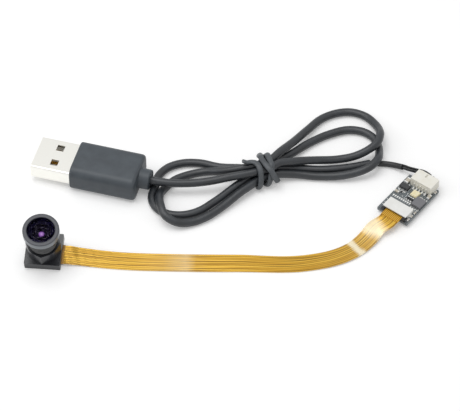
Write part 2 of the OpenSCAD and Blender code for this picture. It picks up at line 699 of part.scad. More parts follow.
// The tie, in the bundle's frame: a free end, two turns round the bundle, and a free end that
// crosses over the turns
tie_run = [
    [-5.7, 1.8, 7.3], [-4.6, 1.5, 6.7], [-3.4, 1.3, 6.6], [-2.4, 0.3, 6.8], [-2.05, -1.3, 6.7],
    [-2.1, -2.8, 5.9], [-2.3, -3.6, 4.6], [-2.8, -4.6, 2.9], [-3.2, -4.3, 1.1],
    [-2.9, -2.9, 0.58], [-2.1, 0, 0.58], [-0.9, 2.4, 0.58], [0.3, 4.15, 1.1], [1.4, 4.4, 2.6],
    [2, 4.1, 4], [2.2, 3.3, 5.3], [2.1, 2.6, 6.15], [1.9, 1.2, 6.65], [1.75, -0.5, 6.7],
    [1.6, -2.2, 6.4], [1.15, -3.2, 5.3], [0.6, -3.95, 4], [0.1, -4.5, 2.8], [-0.4, -4.2, 1.1],
    [-0.7, -2.8, 0.58], [0.1, 0, 0.58], [1.1, 2.4, 0.58], [1.9, 4.3, 0.6], [1.8, 5.6, 1.3],
    [1.3, 5.8, 2.7], [0.8, 5.2, 3.9], [0.3, 4.2, 4.9], [0, 3.35, 5.55], [-0.1, 2.5, 6.3],
    [-0.15, 1, 6.6], [-0.1, -0.5, 6.75], [0.15, -2, 6.75], [0.6, -3.6, 6.4], [1.1, -4.8, 5.2],
    [1.6, -5.4, 4.1], [2.05, -5.7, 3.1]];
// The tie lies flat on the bundle, whose middle is at this height
bundle_mid = (strand_low + strand_top) / 2;
tie_path = [for (p = tie_run) tie_point(p[0], p[1], p[2])];
tie_sides = [for (i = [0:len(tie_run) - 1])
    let (out = tie_point(0, tie_run[i][1], tie_run[i][2]) - tie_point(0, 0, bundle_mid))
    unit(cross(out, heading(tie_path, i)))];

module cable_tie() color([0.3, 0.31, 0.32]) swept(tie_path, tie_sides, tie_w, tie_t);

// ---- USB plug ----

shell_r = 0.5;
shell_inner_r = shell_r - shell_t / 2;

module across_plug() {
    rotate([90, 0, 90]) children();
}

module usb_overmould() color([0.3, 0.32, 0.34]) at_plug() difference() {
    union() {
        translate([shell_out, 0, 0]) intersection() {
            across_plug() linear_extrude(mould_l) round_rect(mould_w, mould_t, mould_r);
            translate([mould_l / 2, 0, -mould_t]) linear_extrude(2 * mould_t)
                round_rect(mould_l, mould_w, 1.7);
            translate([mould_l / 2, mould_w, 0]) rotate([90, 0, 0]) linear_extrude(2 * mould_w)
                round_rect(mould_l, mould_t, 0.8);
        }
        translate([shell_out + mould_l - 1, 0, 0]) rotate([0, 90, 0])
            cylinder(d1 = relief_d + 0.4, d2 = relief_d, h = relief_l + 1);
    }
    // Seat of the shell, and the space behind it where the wires are soldered to the contacts
    translate([shell_out - cut, 0, 0]) across_plug()
        linear_extrude(shell_in + cut) round_rect(shell_w, shell_h, shell_r);
    block([shell_out + shell_in - cut, -4.6, -1.9], [3, 9.2, 2.6]);
}

module usb_shell() color([0.85, 0.85, 0.84]) at_plug() difference() {
    across_plug() linear_extrude(shell_out + shell_in) round_rect(shell_w, shell_h, shell_r);
    translate([-cut, 0, 0]) across_plug() linear_extrude(shell_out + shell_in + 2 * cut)
        round_rect(shell_w - 2 * shell_t, shell_h - 2 * shell_t, shell_inner_r);
    for (y = [-1, 1])
        block([6.3 - window_w / 2, y * 2.9 - window_w / 2, -shell_h],
              [window_w, window_w, 2 * shell_h]);
}

tongue_low = shell_t - shell_h / 2;
contact_y = [-3.5, -1, 1, 3.5];
contact_start = [1.2, 2.2, 2.2, 1.2];
contact_w = 1.1;

// The tongue lies on the flat of the shell's lower wall, between its round corners
tongue_w = shell_w - 2 * shell_t - 2 * shell_inner_r - fit_gap;

module usb_tongue() color([0.9, 0.9, 0.88]) at_plug() difference() {
    block([0.4, -tongue_w / 2, tongue_low], [shell_out + shell_in - 0.4, tongue_w, tongue_t]);
    for (i = [0:3])
        block([contact_start[i], contact_y[i] - contact_w / 2, tongue_low + tongue_t - 0.12],
              [shell_out + shell_in, contact_w, 1]);
}

module usb_contacts() color([0.85, 0.66, 0.3]) at_plug() for (i = [0:3])
    block([contact_start[i] + fit_gap, contact_y[i] - contact_w / 2 + fit_gap,
           tongue_low + tongue_t - 0.12],
          [shell_out + shell_in + 2.5 - contact_start[i], contact_w - 2 * fit_gap, 0.2]);

// ---- Output ----

lens_barrel();
front_lens();
stop_ring();
middle_lens();
lens_spacer();
rear_lens();
lens_holder();
ir_filter();
image_sensor();
sensor_capacitors();
head_stiffener();
flex_circuit();
tail_film();
driver_board();
camera_controller();
flash_memory();
voltage_regulator();
crystal();
capacitors();
resistors();
zif_housing();
zif_slider();
zif_contacts();
zif_hold_downs();
header_housing();
header_pins();
header_hold_downs();
cable_plug_housing();
cable_plug_crimps();
plug_wires();
cable_sleeve();
usb_cable();
cable_tie();
usb_overmould();
usb_shell();
usb_tongue();
usb_contacts();
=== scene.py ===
import math

import bpy
from mathutils import Euler, Matrix, Vector


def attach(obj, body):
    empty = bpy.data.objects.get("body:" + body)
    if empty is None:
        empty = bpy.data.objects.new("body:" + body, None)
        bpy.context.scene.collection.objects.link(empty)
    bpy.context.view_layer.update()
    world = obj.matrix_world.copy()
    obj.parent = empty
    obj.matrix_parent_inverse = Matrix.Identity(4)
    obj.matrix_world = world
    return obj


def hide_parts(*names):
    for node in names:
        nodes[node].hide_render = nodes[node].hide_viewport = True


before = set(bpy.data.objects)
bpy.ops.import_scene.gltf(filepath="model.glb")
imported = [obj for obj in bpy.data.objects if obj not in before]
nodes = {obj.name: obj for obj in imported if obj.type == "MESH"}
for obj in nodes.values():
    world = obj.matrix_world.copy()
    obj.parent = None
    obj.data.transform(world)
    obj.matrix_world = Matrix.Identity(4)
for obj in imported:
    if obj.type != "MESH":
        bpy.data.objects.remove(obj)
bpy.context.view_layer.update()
MM = 0.001


# ---- Camera, lamps and table ----
# A pale table top under an overhead soft box, with a bright room all round.
# The table is white where nothing shades it, and keeps the soft shadows of what lies on it.
camera_data = bpy.data.cameras.new("camera")
camera_data.lens = 208.5
camera_data.sensor_width = 36
camera_data.clip_start = 0.05
camera = bpy.data.objects.new("camera", camera_data)
camera.location = Vector((-1.1, -494.1, 572)) * MM
camera.rotation_euler = (math.radians(41.28), 0, 0)
bpy.context.scene.collection.objects.link(camera)
bpy.context.scene.camera = camera
bpy.context.scene.view_settings.view_transform = "Standard"


def soft_box(name, place, aim, size, watts):
    """A square lamp at place, turned to face aim, in metres."""
    lamp = bpy.data.lights.new(name, "AREA")
    lamp.shape = "SQUARE"
    lamp.size = size
    lamp.energy = watts
    holder = bpy.data.objects.new(name, lamp)
    holder.location = place
    holder.rotation_euler = (Vector(aim) - Vector(place)).to_track_quat("-Z", "Y").to_euler()
    bpy.context.scene.collection.objects.link(holder)
    return holder


soft_box("soft_box_above", (-0.12, 0.05, 0.6), (0, 0, 0), 0.45, 1.6)
soft_box("soft_box_left", (-0.5, -0.05, 0.35), (0, 0, 0), 0.3, 0.45)


def seen_directly(tree):
    """1 for what the eye sees straight, mirrored or through glass, and 0 for light on the object."""
    path = tree.nodes.new("ShaderNodeLightPath")
    either = tree.nodes.new("ShaderNodeMath")
    either.operation = "MAXIMUM"
    both = tree.nodes.new("ShaderNodeMath")
    both.operation = "MAXIMUM"
    tree.links.new(path.outputs["Is Camera Ray"], either.inputs[0])
    tree.links.new(path.outputs["Is Glossy Ray"], either.inputs[1])
    tree.links.new(either.outputs[0], both.inputs[0])
    tree.links.new(path.outputs["Is Transmission Ray"], both.inputs[1])
    return both.outputs[0]


room_light = 0.5
room = bpy.data.worlds.new("room")
room.use_nodes = True
bpy.context.scene.world = room
room_dim = room.node_tree.nodes["Background"]
room_dim.inputs["Color"].default_value = (1, 1, 1, 1)
room_dim.inputs["Strength"].default_value = room_light
room_white = room.node_tree.nodes.new("ShaderNodeBackground")
room_mix = room.node_tree.nodes.new("ShaderNodeMixShader")
room.node_tree.links.new(seen_directly(room.node_tree), room_mix.inputs[0])
room.node_tree.links.new(room_dim.outputs[0], room_mix.inputs[1])
room.node_tree.links.new(room_white.outputs[0], room_mix.inputs[2])
room.node_tree.links.new(room_mix.outputs[0], room.node_tree.nodes["World Output"].inputs["Surface"])

table_mesh = bpy.data.meshes.new("table")
table_mesh.from_pydata([(x, y, 0) for x, y in ((-3, -3), (3, -3), (3, 3), (-3, 3))], [], [(0, 1, 2, 3)])
table = bpy.data.objects.new("table", table_mesh)
bpy.context.scene.collection.objects.link(table)
table_paint = bpy.data.materials.new("table_paint")
table_paint.use_nodes = True
table_tree = table_paint.node_tree
table_tree.nodes.clear()
table_matt = table_tree.nodes.new("ShaderNodeBsdfDiffuse")
table_matt.inputs["Color"].default_value = (0.9, 0.9, 0.9, 1)
table_glow = table_tree.nodes.new("ShaderNodeEmission")
table_gain = table_tree.nodes.new("ShaderNodeMath")
table_gain.operation = "MULTIPLY"
table_gain.inputs[1].default_value = 0.22
table_sum = table_tree.nodes.new("ShaderNodeAddShader")
table_out = table_tree.nodes.new("ShaderNodeOutputMaterial")
table_tree.links.new(seen_directly(table_tree), table_gain.inputs[0])
table_tree.links.new(table_gain.outputs[0], table_glow.inputs["Strength"])
table_tree.links.new(table_matt.outputs[0], table_sum.inputs[0])
table_tree.links.new(table_glow.outputs[0], table_sum.inputs[1])
table_tree.links.new(table_sum.outputs[0], table_out.inputs["Surface"])
table_mesh.materials.append(table_paint)


# ---- USB cable ----
# One length of round cable with a soft black PVC jacket. It leaves the plug's strain relief,
# runs five times through the tie in loops that lie on each other, and ends under the last one.
def turned(point, degrees):
    return Matrix.Rotation(math.radians(degrees), 3, "Z") @ Vector(point)


plug_at = Vector((-56.7, 23.4, 4))
plug_turn = -15.5
plug_length = 34.2
tie_at = Vector((8.6, 19, 0))
tie_turn = 22
cable_d = 2.4
lie = cable_d / 2
strand_gap = 2.5
strand_low = 2.5
strand_top = 4.75


def plug_point(x, y=0, z=0):
    return plug_at + turned((x, y, z), plug_turn)


def tie_point(along, across, up):
    return tie_at + turned((along, across, up), tie_turn)


def low_pass(along, side):
    return tie_point(along, side * strand_gap, strand_low)


def top_pass(along, side):
    return tie_point(along, side * strand_gap / 2, strand_top)


cable_route = [
    plug_point(plug_length), plug_point(plug_length + 2.6),
    (-13, 13.2, 3.8), (-7, 13.7, 4.1), (-1, 14.9, 4.6),
    top_pass(-3.5, -1), top_pass(2.2, -1),
    (13, 20.1, 4.8), (16.8, 21.1, 4.3), (20, 22, 3.7), (23.5, 22.8, 3), (29.5, 23.7, 2.3),
    (35, 24.7, 2.7), (39, 26.4, 3.6), (41.5, 28.6, 4.1), (42.5, 31.8, 3.9), (42.4, 35.2, 2.6),
    (41.2, 38.6, 1.6), (38.7, 41.8, lie), (34.5, 43.5, lie), (30, 43, lie), (26, 41, lie),
    (21.7, 36, 1.8), (17.2, 29.5, 3.45), (13.4, 24.5, 4.85),
    top_pass(2.2, 1), top_pass(-3.5, 1),
    (0, 18.4, 3.8), (-4, 18.8, 2.7), (-8, 19.6, 1.6), (-12.5, 18.9, lie), (-17, 16.7, lie),
    (-20, 13.2, lie), (-21.2, 9.2, 2.8), (-20.9, 5.3, 3.85), (-19.3, 1.2, 3.3),
    (-16.4, -0.1, 2.2), (-12, 0.7, lie), (-8, 2.6, lie), (-3, 6.6, 1.5), (2, 11.2, 2.3),
    (5.4, 14.1, 2.5),
    low_pass(-2.7, -1), low_pass(3, -1),
    (18, 18.6, 1.6), (24, 18.2, lie), (34, 18.3, 2.2), (39, 19.9, 3.2),
    (41.5, 22.9, 3.35), (42.1, 26.4, 2.1), (42, 30, lie), (40.6, 33.4, lie), (37.8, 35.6, lie),
    (34, 36.4, lie), (28, 34.7, lie), (22, 31.2, 1.2), (16, 26, 1.8),
    low_pass(3, 1), low_pass(-3, 1),
    (1, 20.6, 2.1), (-4, 21.5, 1.4), (-10, 23.3, lie), (-15, 23.2, lie), (-19.3, 21.3, lie),
    (-21.9, 17.8, lie), (-22.5, 14.4, lie), (-23.5, 10, lie), (-22.4, 6.6, lie),
    (-19.6, 4.1, lie), (-15, 3.3, lie), (-11, 4.3, lie), (-5, 8.7, 1.4), (0.7, 13.8, 2),
    low_pass(-3, 0), low_pass(3, 0),
    (17.5, 21.1, 1.5), (25, 20.7, lie), (34, 21.7, lie), (39.4, 23.1, lie)]


def smooth_path(points, steps):
    """A smooth line through the points, in millimetres, with steps pieces between each two."""
    points = [Vector(p) for p in points]
    gaps = [(b - a).length for a, b in zip(points, points[1:])]
    slopes = [(b - a) / gap for a, b, gap in zip(points, points[1:], gaps)]
    tangents = [slopes[0]]
    for before, after, slope_in, slope_out in zip(gaps, gaps[1:], slopes, slopes[1:]):
        tangents.append((slope_in * after + slope_out * before) / (before + after))
    tangents.append(slopes[-1])
    line = []
    for i, gap in enumerate(gaps):
        for k in range(steps):
            t = k / steps
            line.append(points[i] * (2 * t**3 - 3 * t**2 + 1)
                        + tangents[i] * gap * (t**3 - 2 * t**2 + t)
                        + points[i + 1] * (3 * t**2 - 2 * t**3)
                        + tangents[i + 1] * gap * (t**3 - t**2))
    line.append(points[-1])
    return line


def linear(hex_colour):
    """A colour written as rrggbb, as the shaders take it."""
    parts = [int(hex_colour[i:i + 2], 16) / 255 for i in (0, 2, 4)]
    return tuple(c / 12.92 if c <= 0.04045 else ((c + 0.055) / 1.055) ** 2.4 for c in parts) + (1,)


def finish_of(name, colour, roughness, **sockets):
    """A material with one shader. Other sockets are named in small letters with underscores."""
    made = bpy.data.materials.new(name)
    made.use_nodes = True
    shader = made.node_tree.nodes["Principled BSDF"]
    shader.inputs["Base Color"].default_value = linear(colour)
    shader.inputs["Roughness"].default_value = roughness
    plain_names = {s.name.lower().replace(" ", "_"): s for s in shader.inputs}
    for socket, value in sockets.items():
        plain_names[socket].default_value = value
    return made


def grain(made, per_mm, height, detail=3.0):
    """Fine unevenness of a moulded or drawn surface, in object space."""
    tree = made.node_tree
    place = tree.nodes.new("ShaderNodeTexCoord")
    noise = tree.nodes.new("ShaderNodeTexNoise")
    noise.inputs["Scale"].default_value = per_mm / MM
    noise.inputs["Detail"].default_value = detail
    bump = tree.nodes.new("ShaderNodeBump")
    bump.inputs["Strength"].default_value = 1
    bump.inputs["Distance"].default_value = height * MM
    tree.links.new(place.outputs["Object"], noise.inputs["Vector"])
    tree.links.new(noise.outputs["Fac"], bump.inputs["Height"])
    tree.links.new(bump.outputs["Normal"], tree.nodes["Principled BSDF"].inputs["Normal"])
    return made


def mottle(made, dark, light, per_mm, roughness=None):
    """Slow change between two colours over a surface, and of its roughness where that is given."""
    tree = made.node_tree
    place = tree.nodes.new("ShaderNodeTexCoord")
    noise = tree.nodes.new("ShaderNodeTexNoise")
    noise.inputs["Scale"].default_value = per_mm / MM
    noise.inputs["Detail"].default_value = 4
    ramp = tree.nodes.new("ShaderNodeValToRGB")
    ramp.color_ramp.elements[0].position = 0.35
    ramp.color_ramp.elements[1].position = 0.65
    ramp.color_ramp.elements[0].color = linear(dark)
    ramp.color_ramp.elements[1].color = linear(light)
    tree.links.new(place.outputs["Object"], noise.inputs["Vector"])
    tree.links.new(noise.outputs["Fac"], ramp.inputs["Fac"])
    tree.links.new(ramp.outputs["Color"], tree.nodes["Principled BSDF"].inputs["Base Color"])
    if roughness:
        spread = tree.nodes.new("ShaderNodeMapRange")
        spread.inputs["To Min"].default_value = roughness[0]
        spread.inputs["To Max"].default_value = roughness[1]
        tree.links.new(noise.outputs["Fac"], spread.inputs["Value"])
        tree.links.new(spread.outputs["Result"], tree.nodes["Principled BSDF"].inputs["Roughness"])
    return made


cable_line = smooth_path(cable_route, 4)
cable_curve = bpy.data.curves.new("usb_cable_jacket", "CURVE")
cable_curve.dimensions = "3D"
cable_curve.bevel_depth = cable_d / 2 * MM
cable_curve.bevel_resolution = 4
cable_curve.use_fill_caps = True
cable_spline = cable_curve.splines.new("POLY")
cable_spline.points.add(len(cable_line) - 1)
for knot, place in zip(cable_spline.points, cable_line):
    knot.co = (*(place * MM), 1)
cable = bpy.data.objects.new("usb_cable_jacket", cable_curve)
bpy.context.scene.collection.objects.link(cable)
jacket = grain(finish_of("cable_jacket", "272a2f", 0.42, specular_ior_level=0.65), 5, 0.012)
mottle(jacket, "24272b", "2e3237", 0.3, (0.34, 0.48))
cable_curve.materials.append(jacket)
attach(cable, "module")
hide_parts("usb_cable")


# ---- Sleeve and wires at the board end ----
# A thin black sleeve goes on from the jacket, and five fine insulated wires fan out of it along
# the rear of the header's plug. They are crimped into the plug's contacts.
def tube_mesh(name, line, width, height, sides, side_of=None):
    """A closed tube of oval section along a line, in millimetres, made into an object in metres."""
    vertices, faces = [], []
    side = Vector((0, 0, 1))
    last = len(line) - 1
    for i, centre in enumerate(line):
        ahead = (line[min(i + 1, last)] - line[max(i - 1, 0)]).normalized()
        side = side_of(i, ahead) if side_of else (side - ahead * side.dot(ahead)).normalized()
        other = ahead.cross(side)
        for k in range(sides):
            angle = 2 * math.pi * k / sides
            vertices.append((centre + side * (width / 2 * math.cos(angle))
                             + other * (height / 2 * math.sin(angle))) * MM)
    for i in range(last):
        for k in range(sides):
            a, b = i * sides + k, i * sides + (k + 1) % sides
            faces.append((a, b, b + sides, a + sides))
    faces.append(tuple(reversed(range(sides))))
    faces.append(tuple(range(last * sides, (last + 1) * sides)))
    mesh = bpy.data.meshes.new(name)
    mesh.from_pydata(vertices, [], faces)
    for face in mesh.polygons:
        face.use_smooth = len(face.vertices) == 4
    made = bpy.data.objects.new(name, mesh)
    bpy.context.scene.collection.objects.link(made)
    return made


board_at = Vector((40.75, 5.95, 0))
board_turn = -38
board_top = 1.65


def board_point(x, y, z):
    return board_at + turned((x, y, z), board_turn)


jacket_end = Vector(cable_route[-1])
sleeve_start = jacket_end + 0.8 * (jacket_end - Vector(cable_route[-2])).normalized()
sleeve_end = Vector((48.8, 21.1, 1.9))
sleeve_line = smooth_path([jacket_end, sleeve_start, (42, 23.4, 0.9), (44.5, 23.2, 0.9),
                           (46.8, 22.4, 1.2), sleeve_end], 4)
sleeve = tube_mesh("wire_sleeve", sleeve_line, 1.7, 1.7, 20)
sleeve_skin = grain(finish_of("sleeve_skin", "1d1e20", 0.42), 4, 0.01)
mottle(sleeve_skin, "1b1c1e", "26282a", 0.5, (0.36, 0.5))
sleeve.data.materials.append(sleeve_skin)

plug_rear = 17.65
pin_height = 1.45
wire_d = 0.5
wire_span = wire_d * 1.1
bunch_run = [(2.9, 0.6, 0.85), (1.6, 0.2, 0.7), (0, -0.25, 0.6), (-1.4, -0.6, 0.5)]
bunch_places = [(-0.5, 0.5), (-0.5, -0.5), (0.5, 1), (0.5, 0), (0.5, -1)]
sleeve_dir = (Vector((46.8, 22.4, 1.2)) - sleeve_end).normalized()
sleeve_back = Vector((sleeve_dir.y, -sleeve_dir.x, 0)).normalized()
sleeve_up = sleeve_back.cross(sleeve_dir)


def behind_plug(x, back, up):
    return board_point(x, plug_rear + back, board_top + up)


def wire_route(i):
    """From the crimp, along the plug's rear face in its place in the bunch, to the sleeve."""
    x = 3.9 + i
    back, up = (wire_span * place for place in bunch_places[i])
    lane_back, lane_up = bunch_run[0][1] + back, bunch_run[0][2] + up
    end = sleeve_end + back * sleeve_back + up * sleeve_up
    return ([behind_plug(x, -0.4, pin_height), behind_plug(x, lane_back * 0.5, pin_height),
             behind_plug(x - 0.25, lane_back * 0.88, pin_height * 0.6 + lane_up * 0.4),
             behind_plug(x - 0.7, lane_back, lane_up)]
            + [behind_plug(cx, cy + back, cz + up) for cx, cy, cz in bunch_run]
            + [end - 0.6 * sleeve_dir, end])


wire_skin = grain(finish_of("wire_skin", "17181a", 0.36), 6, 0.006)
mottle(wire_skin, "151617", "202224", 0.8)
wires = [tube_mesh(f"wire_{i + 1}", smooth_path(wire_route(i), 4), wire_d, wire_d, 12)
         for i in range(5)]
for wire in wires:
    wire.data.materials.append(wire_skin)
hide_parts("cable_sleeve")
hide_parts("plug_wires")
for piece in [sleeve, *wires]:
    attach(piece, "module")


# ---- Tie ----
# A flat-sided tie of soft grey PVC over a wire core. It passes twice round the five strands, and
# its free end is bent over the turns.
tie_run = [
    (-5.7, 1.8, 7.3), (-4.6, 1.5, 6.7), (-3.4, 1.3, 6.6), (-2.4, 0.3, 6.8), (-2.05, -1.3, 6.7),
    (-2.1, -2.8, 5.9), (-2.3, -3.6, 4.6), (-2.8, -4.6, 2.9), (-3.2, -4.3, 1.1),
    (-2.9, -2.9, 0.58), (-2.1, 0, 0.58), (-0.9, 2.4, 0.58), (0.3, 4.15, 1.1), (1.4, 4.4, 2.6),
    (2, 4.1, 4), (2.2, 3.3, 5.3), (2.1, 2.6, 6.15), (1.9, 1.2, 6.65), (1.75, -0.5, 6.7),
    (1.6, -2.2, 6.4), (1.15, -3.2, 5.3), (0.6, -3.95, 4), (0.1, -4.5, 2.8), (-0.4, -4.2, 1.1),
    (-0.7, -2.8, 0.58), (0.1, 0, 0.58), (1.1, 2.4, 0.58), (1.9, 4.3, 0.6), (1.8, 5.6, 1.3),
    (1.3, 5.8, 2.7), (0.8, 5.2, 3.9), (0.3, 4.2, 4.9), (0, 3.35, 5.55), (-0.1, 2.5, 6.3),
    (-0.15, 1, 6.6), (-0.1, -0.5, 6.75), (0.15, -2, 6.75), (0.6, -3.6, 6.4), (1.1, -4.8, 5.2),
    (1.6, -5.4, 4.1), (2.05, -5.7, 3.1)]
tie_w = 1.7
tie_t = 1.1
bundle_middle = tie_point(0, 0, (strand_low + strand_top) / 2)
bundle_along = turned((1, 0, 0), tie_turn)
tie_line = smooth_path([tie_point(*p) for p in tie_run], 4)


def tie_side(i, ahead):
    """The tie's flat faces lie on the bundle, so its width runs along the bundle."""
    out = tie_line[i] - bundle_middle
    out -= bundle_along * out.dot(bundle_along)
    return out.cross(ahead).normalized()


tie = tube_mesh("cable_tie_strip", tie_line, tie_w, tie_t, 20, tie_side)
tie_skin = grain(finish_of("tie_skin", "46494c", 0.5), 3, 0.02)
mottle(tie_skin, "474b4f", "565a5e", 0.4, (0.4, 0.54))
tie.data.materials.append(tie_skin)
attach(tie, "module")
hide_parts("cable_tie")


# ---- USB plug ----
# A nickel-plated steel shell with two square windows in each broad face, round a white tongue
# with four gold contacts. Soft grey PVC is moulded over the rear of the shell and the cable.
shell_out = 11.7
mould_l = 19.4
mould_w = 13.6
mould_t = 8
mould_r = 2.4
relief_d = 5.9


def oval_section(width, height, radius, steps=7):
    """A rectangle with round corners, as (across, up) pairs, in millimetres."""
    outline = []
    for quarter, (sy, sz) in enumerate(((1, 1), (-1, 1), (-1, -1), (1, -1))):
        for k in range(steps):
            angle = math.pi / 2 * (quarter + k / (steps - 1))
            outline.append((sy * (width / 2 - radius) + radius * math.cos(angle),
                            sz * (height / 2 - radius) + radius * math.sin(angle)))
    return outline


def lofted(name, stations):
    """A closed body through sections at places along the plug, made into an object in metres."""
    count = len(stations[0][1])
    vertices = [plug_point(x, y, z) * MM for x, section in stations for y, z in section]
    faces = [tuple(reversed(range(count)))]
    for i in range(len(stations) - 1):
        for k in range(count):
            a, b = i * count + k, i * count + (k + 1) % count
            faces.append((a, b, b + count, a + count))
    faces.append(tuple(range((len(stations) - 1) * count, len(stations) * count)))
    mesh = bpy.data.meshes.new(name)
    mesh.from_pydata(vertices, [], faces)
    for face in mesh.polygons:
        face.use_smooth = True
    made = bpy.data.objects.new(name, mesh)
    bpy.context.scene.collection.objects.link(made)
    return made


def edge_inset(depth, radius):
    """How far an outline steps in at a depth from a rounded end."""
    return radius - math.sqrt(max(0, radius**2 - (radius - depth) ** 2)) if depth < radius else 0


front_round = 0.45
rear_round = 1.1
body_stations = []
for depth in [front_round * (1 - math.cos(math.pi / 2 * k / 6)) for k in range(7)]:
    inset = edge_inset(depth, front_round)
    body_stations.append((shell_out + depth, oval_section(mould_w - 2 * inset, mould_t - 2 * inset,
                                                          mould_r - inset)))
for k in range(1, 12):
    x = shell_out + front_round + (mould_l - front_round - rear_round) * k / 12
    body_stations.append((x, oval_section(mould_w, mould_t, mould_r)))
for depth in [rear_round * (1 - math.sin(math.pi / 2 * k / 8)) for k in range(9)]:
    inset = edge_inset(depth, rear_round)
    body_stations.append((shell_out + mould_l - depth,
                          oval_section(mould_w - 2 * inset, mould_t - 2 * inset,
                                       mould_r - inset)))
overmould = lofted("usb_grip", body_stations)

relief_stations = []
relief_l = 3.1
for x, d in ((-0.6, 6.3), (0, 6.2), (0.35, 6.0), (relief_l - 0.5, relief_d),
             (relief_l - 0.2, relief_d - 0.1), (relief_l - 0.05, relief_d - 0.35),
             (relief_l, relief_d - 0.8), (relief_l, cable_d + 0.1)):
    relief_stations.append((shell_out + mould_l + x,
                            [(d / 2 * math.cos(2 * math.pi * k / 40),
                              d / 2 * math.sin(2 * math.pi * k / 40)) for k in range(40)]))
relief = lofted("strain_relief", relief_stations)

grip_pvc = grain(finish_of("grip_pvc", "42484e", 0.46), 3, 0.016)
mottle(grip_pvc, "3f454b", "484f55", 0.25, (0.4, 0.52))
for piece in (overmould, relief):
    piece.data.materials.append(grip_pvc)
    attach(piece, "module")
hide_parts("usb_overmould")


def dress(names, made):
    """Gives a finished material to nodes whose shape stays as it was built."""
    for name in names:
        nodes[name].material_slots[0].material = made


def in_frame(tree, origin, rotation, scale=(1, 1, 1)):
    """Object coordinates in metres, seen from a frame at origin that is turned by rotation."""
    place = tree.nodes.new("ShaderNodeTexCoord")
    lay = tree.nodes.new("ShaderNodeMapping")
    lay.vector_type = "TEXTURE"
    lay.inputs["Location"].default_value = origin
    lay.inputs["Rotation"].default_value = [math.radians(angle) for angle in rotation]
    lay.inputs["Scale"].default_value = scale
    tree.links.new(place.outputs["Object"], lay.inputs["Vector"])
    return lay.outputs["Vector"]


def brushed(made, turn, per_mm, height):
    """Fine parallel rolling marks along X of a frame that is turned about Z."""
    tree = made.node_tree
    lay = in_frame(tree, (0, 0, 0), (0, 0, turn), (12, 1, 1))
    noise = tree.nodes.new("ShaderNodeTexNoise")
    noise.inputs["Scale"].default_value = per_mm / MM
    bump = tree.nodes.new("ShaderNodeBump")
    bump.inputs["Distance"].default_value = height * MM
    tree.links.new(lay, noise.inputs["Vector"])
    tree.links.new(noise.outputs["Fac"], bump.inputs["Height"])
    tree.links.new(bump.outputs["Normal"], tree.nodes["Principled BSDF"].inputs["Normal"])
    return made


nickel = brushed(finish_of("nickel_shell", "f6f5ef", 0.3, metallic=1.0), plug_turn, 3, 0.004)
dress(["usb_shell"], nickel)
tongue_white = grain(finish_of("tongue_plastic", "e6e6e2", 0.45), 4, 0.006)
dress(["usb_tongue"], tongue_white)
gold = grain(finish_of("gold_plating", "d9a850", 0.28, metallic=1.0), 6, 0.004)
dress(["usb_contacts", "zif_contacts"], gold)


# ---- Lens barrel ----
# A turned aluminium barrel, anodised dark grey. A fine thread screws it into the holder for
# focusing, and a wide flat flange holds the front glass.
head_at = Vector((-53.6, -15.6, 0))
head_turn = -5
head_lean = 12
base_w = 10.2
head_matrix = (Matrix.Translation(head_at) @ Euler((math.radians(head_lean), 0,
                                                    math.radians(head_turn))).to_matrix().to_4x4())
lens_matrix = head_matrix @ Matrix.Translation((0, base_w / 2, 0))
lens_middle = lens_matrix.to_translation() * MM

barrel_low = 4
lens_top = 13.6
flange_low = 11.6
flange_d = 10.3
glass_d = 7.8
glass_seat = 12.2
stack_d = 6.1
ledge_z = 5
ledge_d = 4.4
thread_d = 8
thread_pitch = 0.5
thread_depth = 0.16


def barrel_profile(turn):
    """Radius, height and finish round the wall's section, at a turn from 0 to 1 round the axis."""
    outer = [(ledge_d / 2, barrel_low, 0), (3.8, barrel_low, 0)]
    steps = 60
    for k in range(steps + 1):
        z = barrel_low + 0.2 + (flange_low - 0.6 - barrel_low) * k / steps
        wave = abs(((z / thread_pitch - turn) % 1) * 2 - 1)
        outer.append((thread_d / 2 - thread_depth * wave, z, 0))
    outer += [(3.8, flange_low - 0.35, 0), (3.8, flange_low, 0), (flange_d / 2 - 0.12, flange_low, 1),
              (flange_d / 2, flange_low + 0.12, 1), (flange_d / 2, lens_top - 0.22, 2),
              (flange_d / 2 - 0.06, lens_top - 0.08, 2), (flange_d / 2 - 0.2, lens_top, 2),
              (4.12, lens_top, 2), (4.02, lens_top - 0.05, 2), (glass_d / 2 + 0.05, lens_top - 0.3, 3),
              (glass_d / 2 + 0.05, glass_seat, 3), (stack_d / 2, glass_seat, 3),
              (stack_d / 2, ledge_z, 3), (ledge_d / 2, ledge_z, 3)]
    return outer


def lathed(name, rings, closed):
    """A piece turned on the lens axis from one section a step: rings of (radius, height, finish)."""
    turns = len(rings)
    size = len(rings[0])
    vertices = [lens_matrix @ Vector((r * math.cos(2 * math.pi * k / turns),
                                      r * math.sin(2 * math.pi * k / turns), z)) * MM
                for k, ring in enumerate(rings) for r, z, _ in ring]
    faces, kinds = [], []
    for k in range(turns):
        here, there = k * size, (k + 1) % turns * size
        for j in range(size if closed else size - 1):
            i = (j + 1) % size
            faces.append((here + j, there + j, there + i, here + i))
            kinds.append(rings[0][j][2])
    if not closed:
        for j, flip in ((0, True), (size - 1, False)):
            rim = [k * size + j for k in range(turns)]
            faces.append(tuple(reversed(rim)) if flip else tuple(rim))
            kinds.append(0)
    mesh = bpy.data.meshes.new(name)
    mesh.from_pydata(vertices, [], faces)
    for face, kind in zip(mesh.polygons, kinds):
        face.material_index = kind
    mesh.shade_smooth()
    mesh.set_sharp_from_angle(angle=math.radians(32))
    made = bpy.data.objects.new(name, mesh)
    bpy.context.scene.collection.objects.link(made)
    return made


barrel_turns = 120
barrel = lathed("threaded_barrel", [barrel_profile(k / barrel_turns) for k in range(barrel_turns)],
                True)


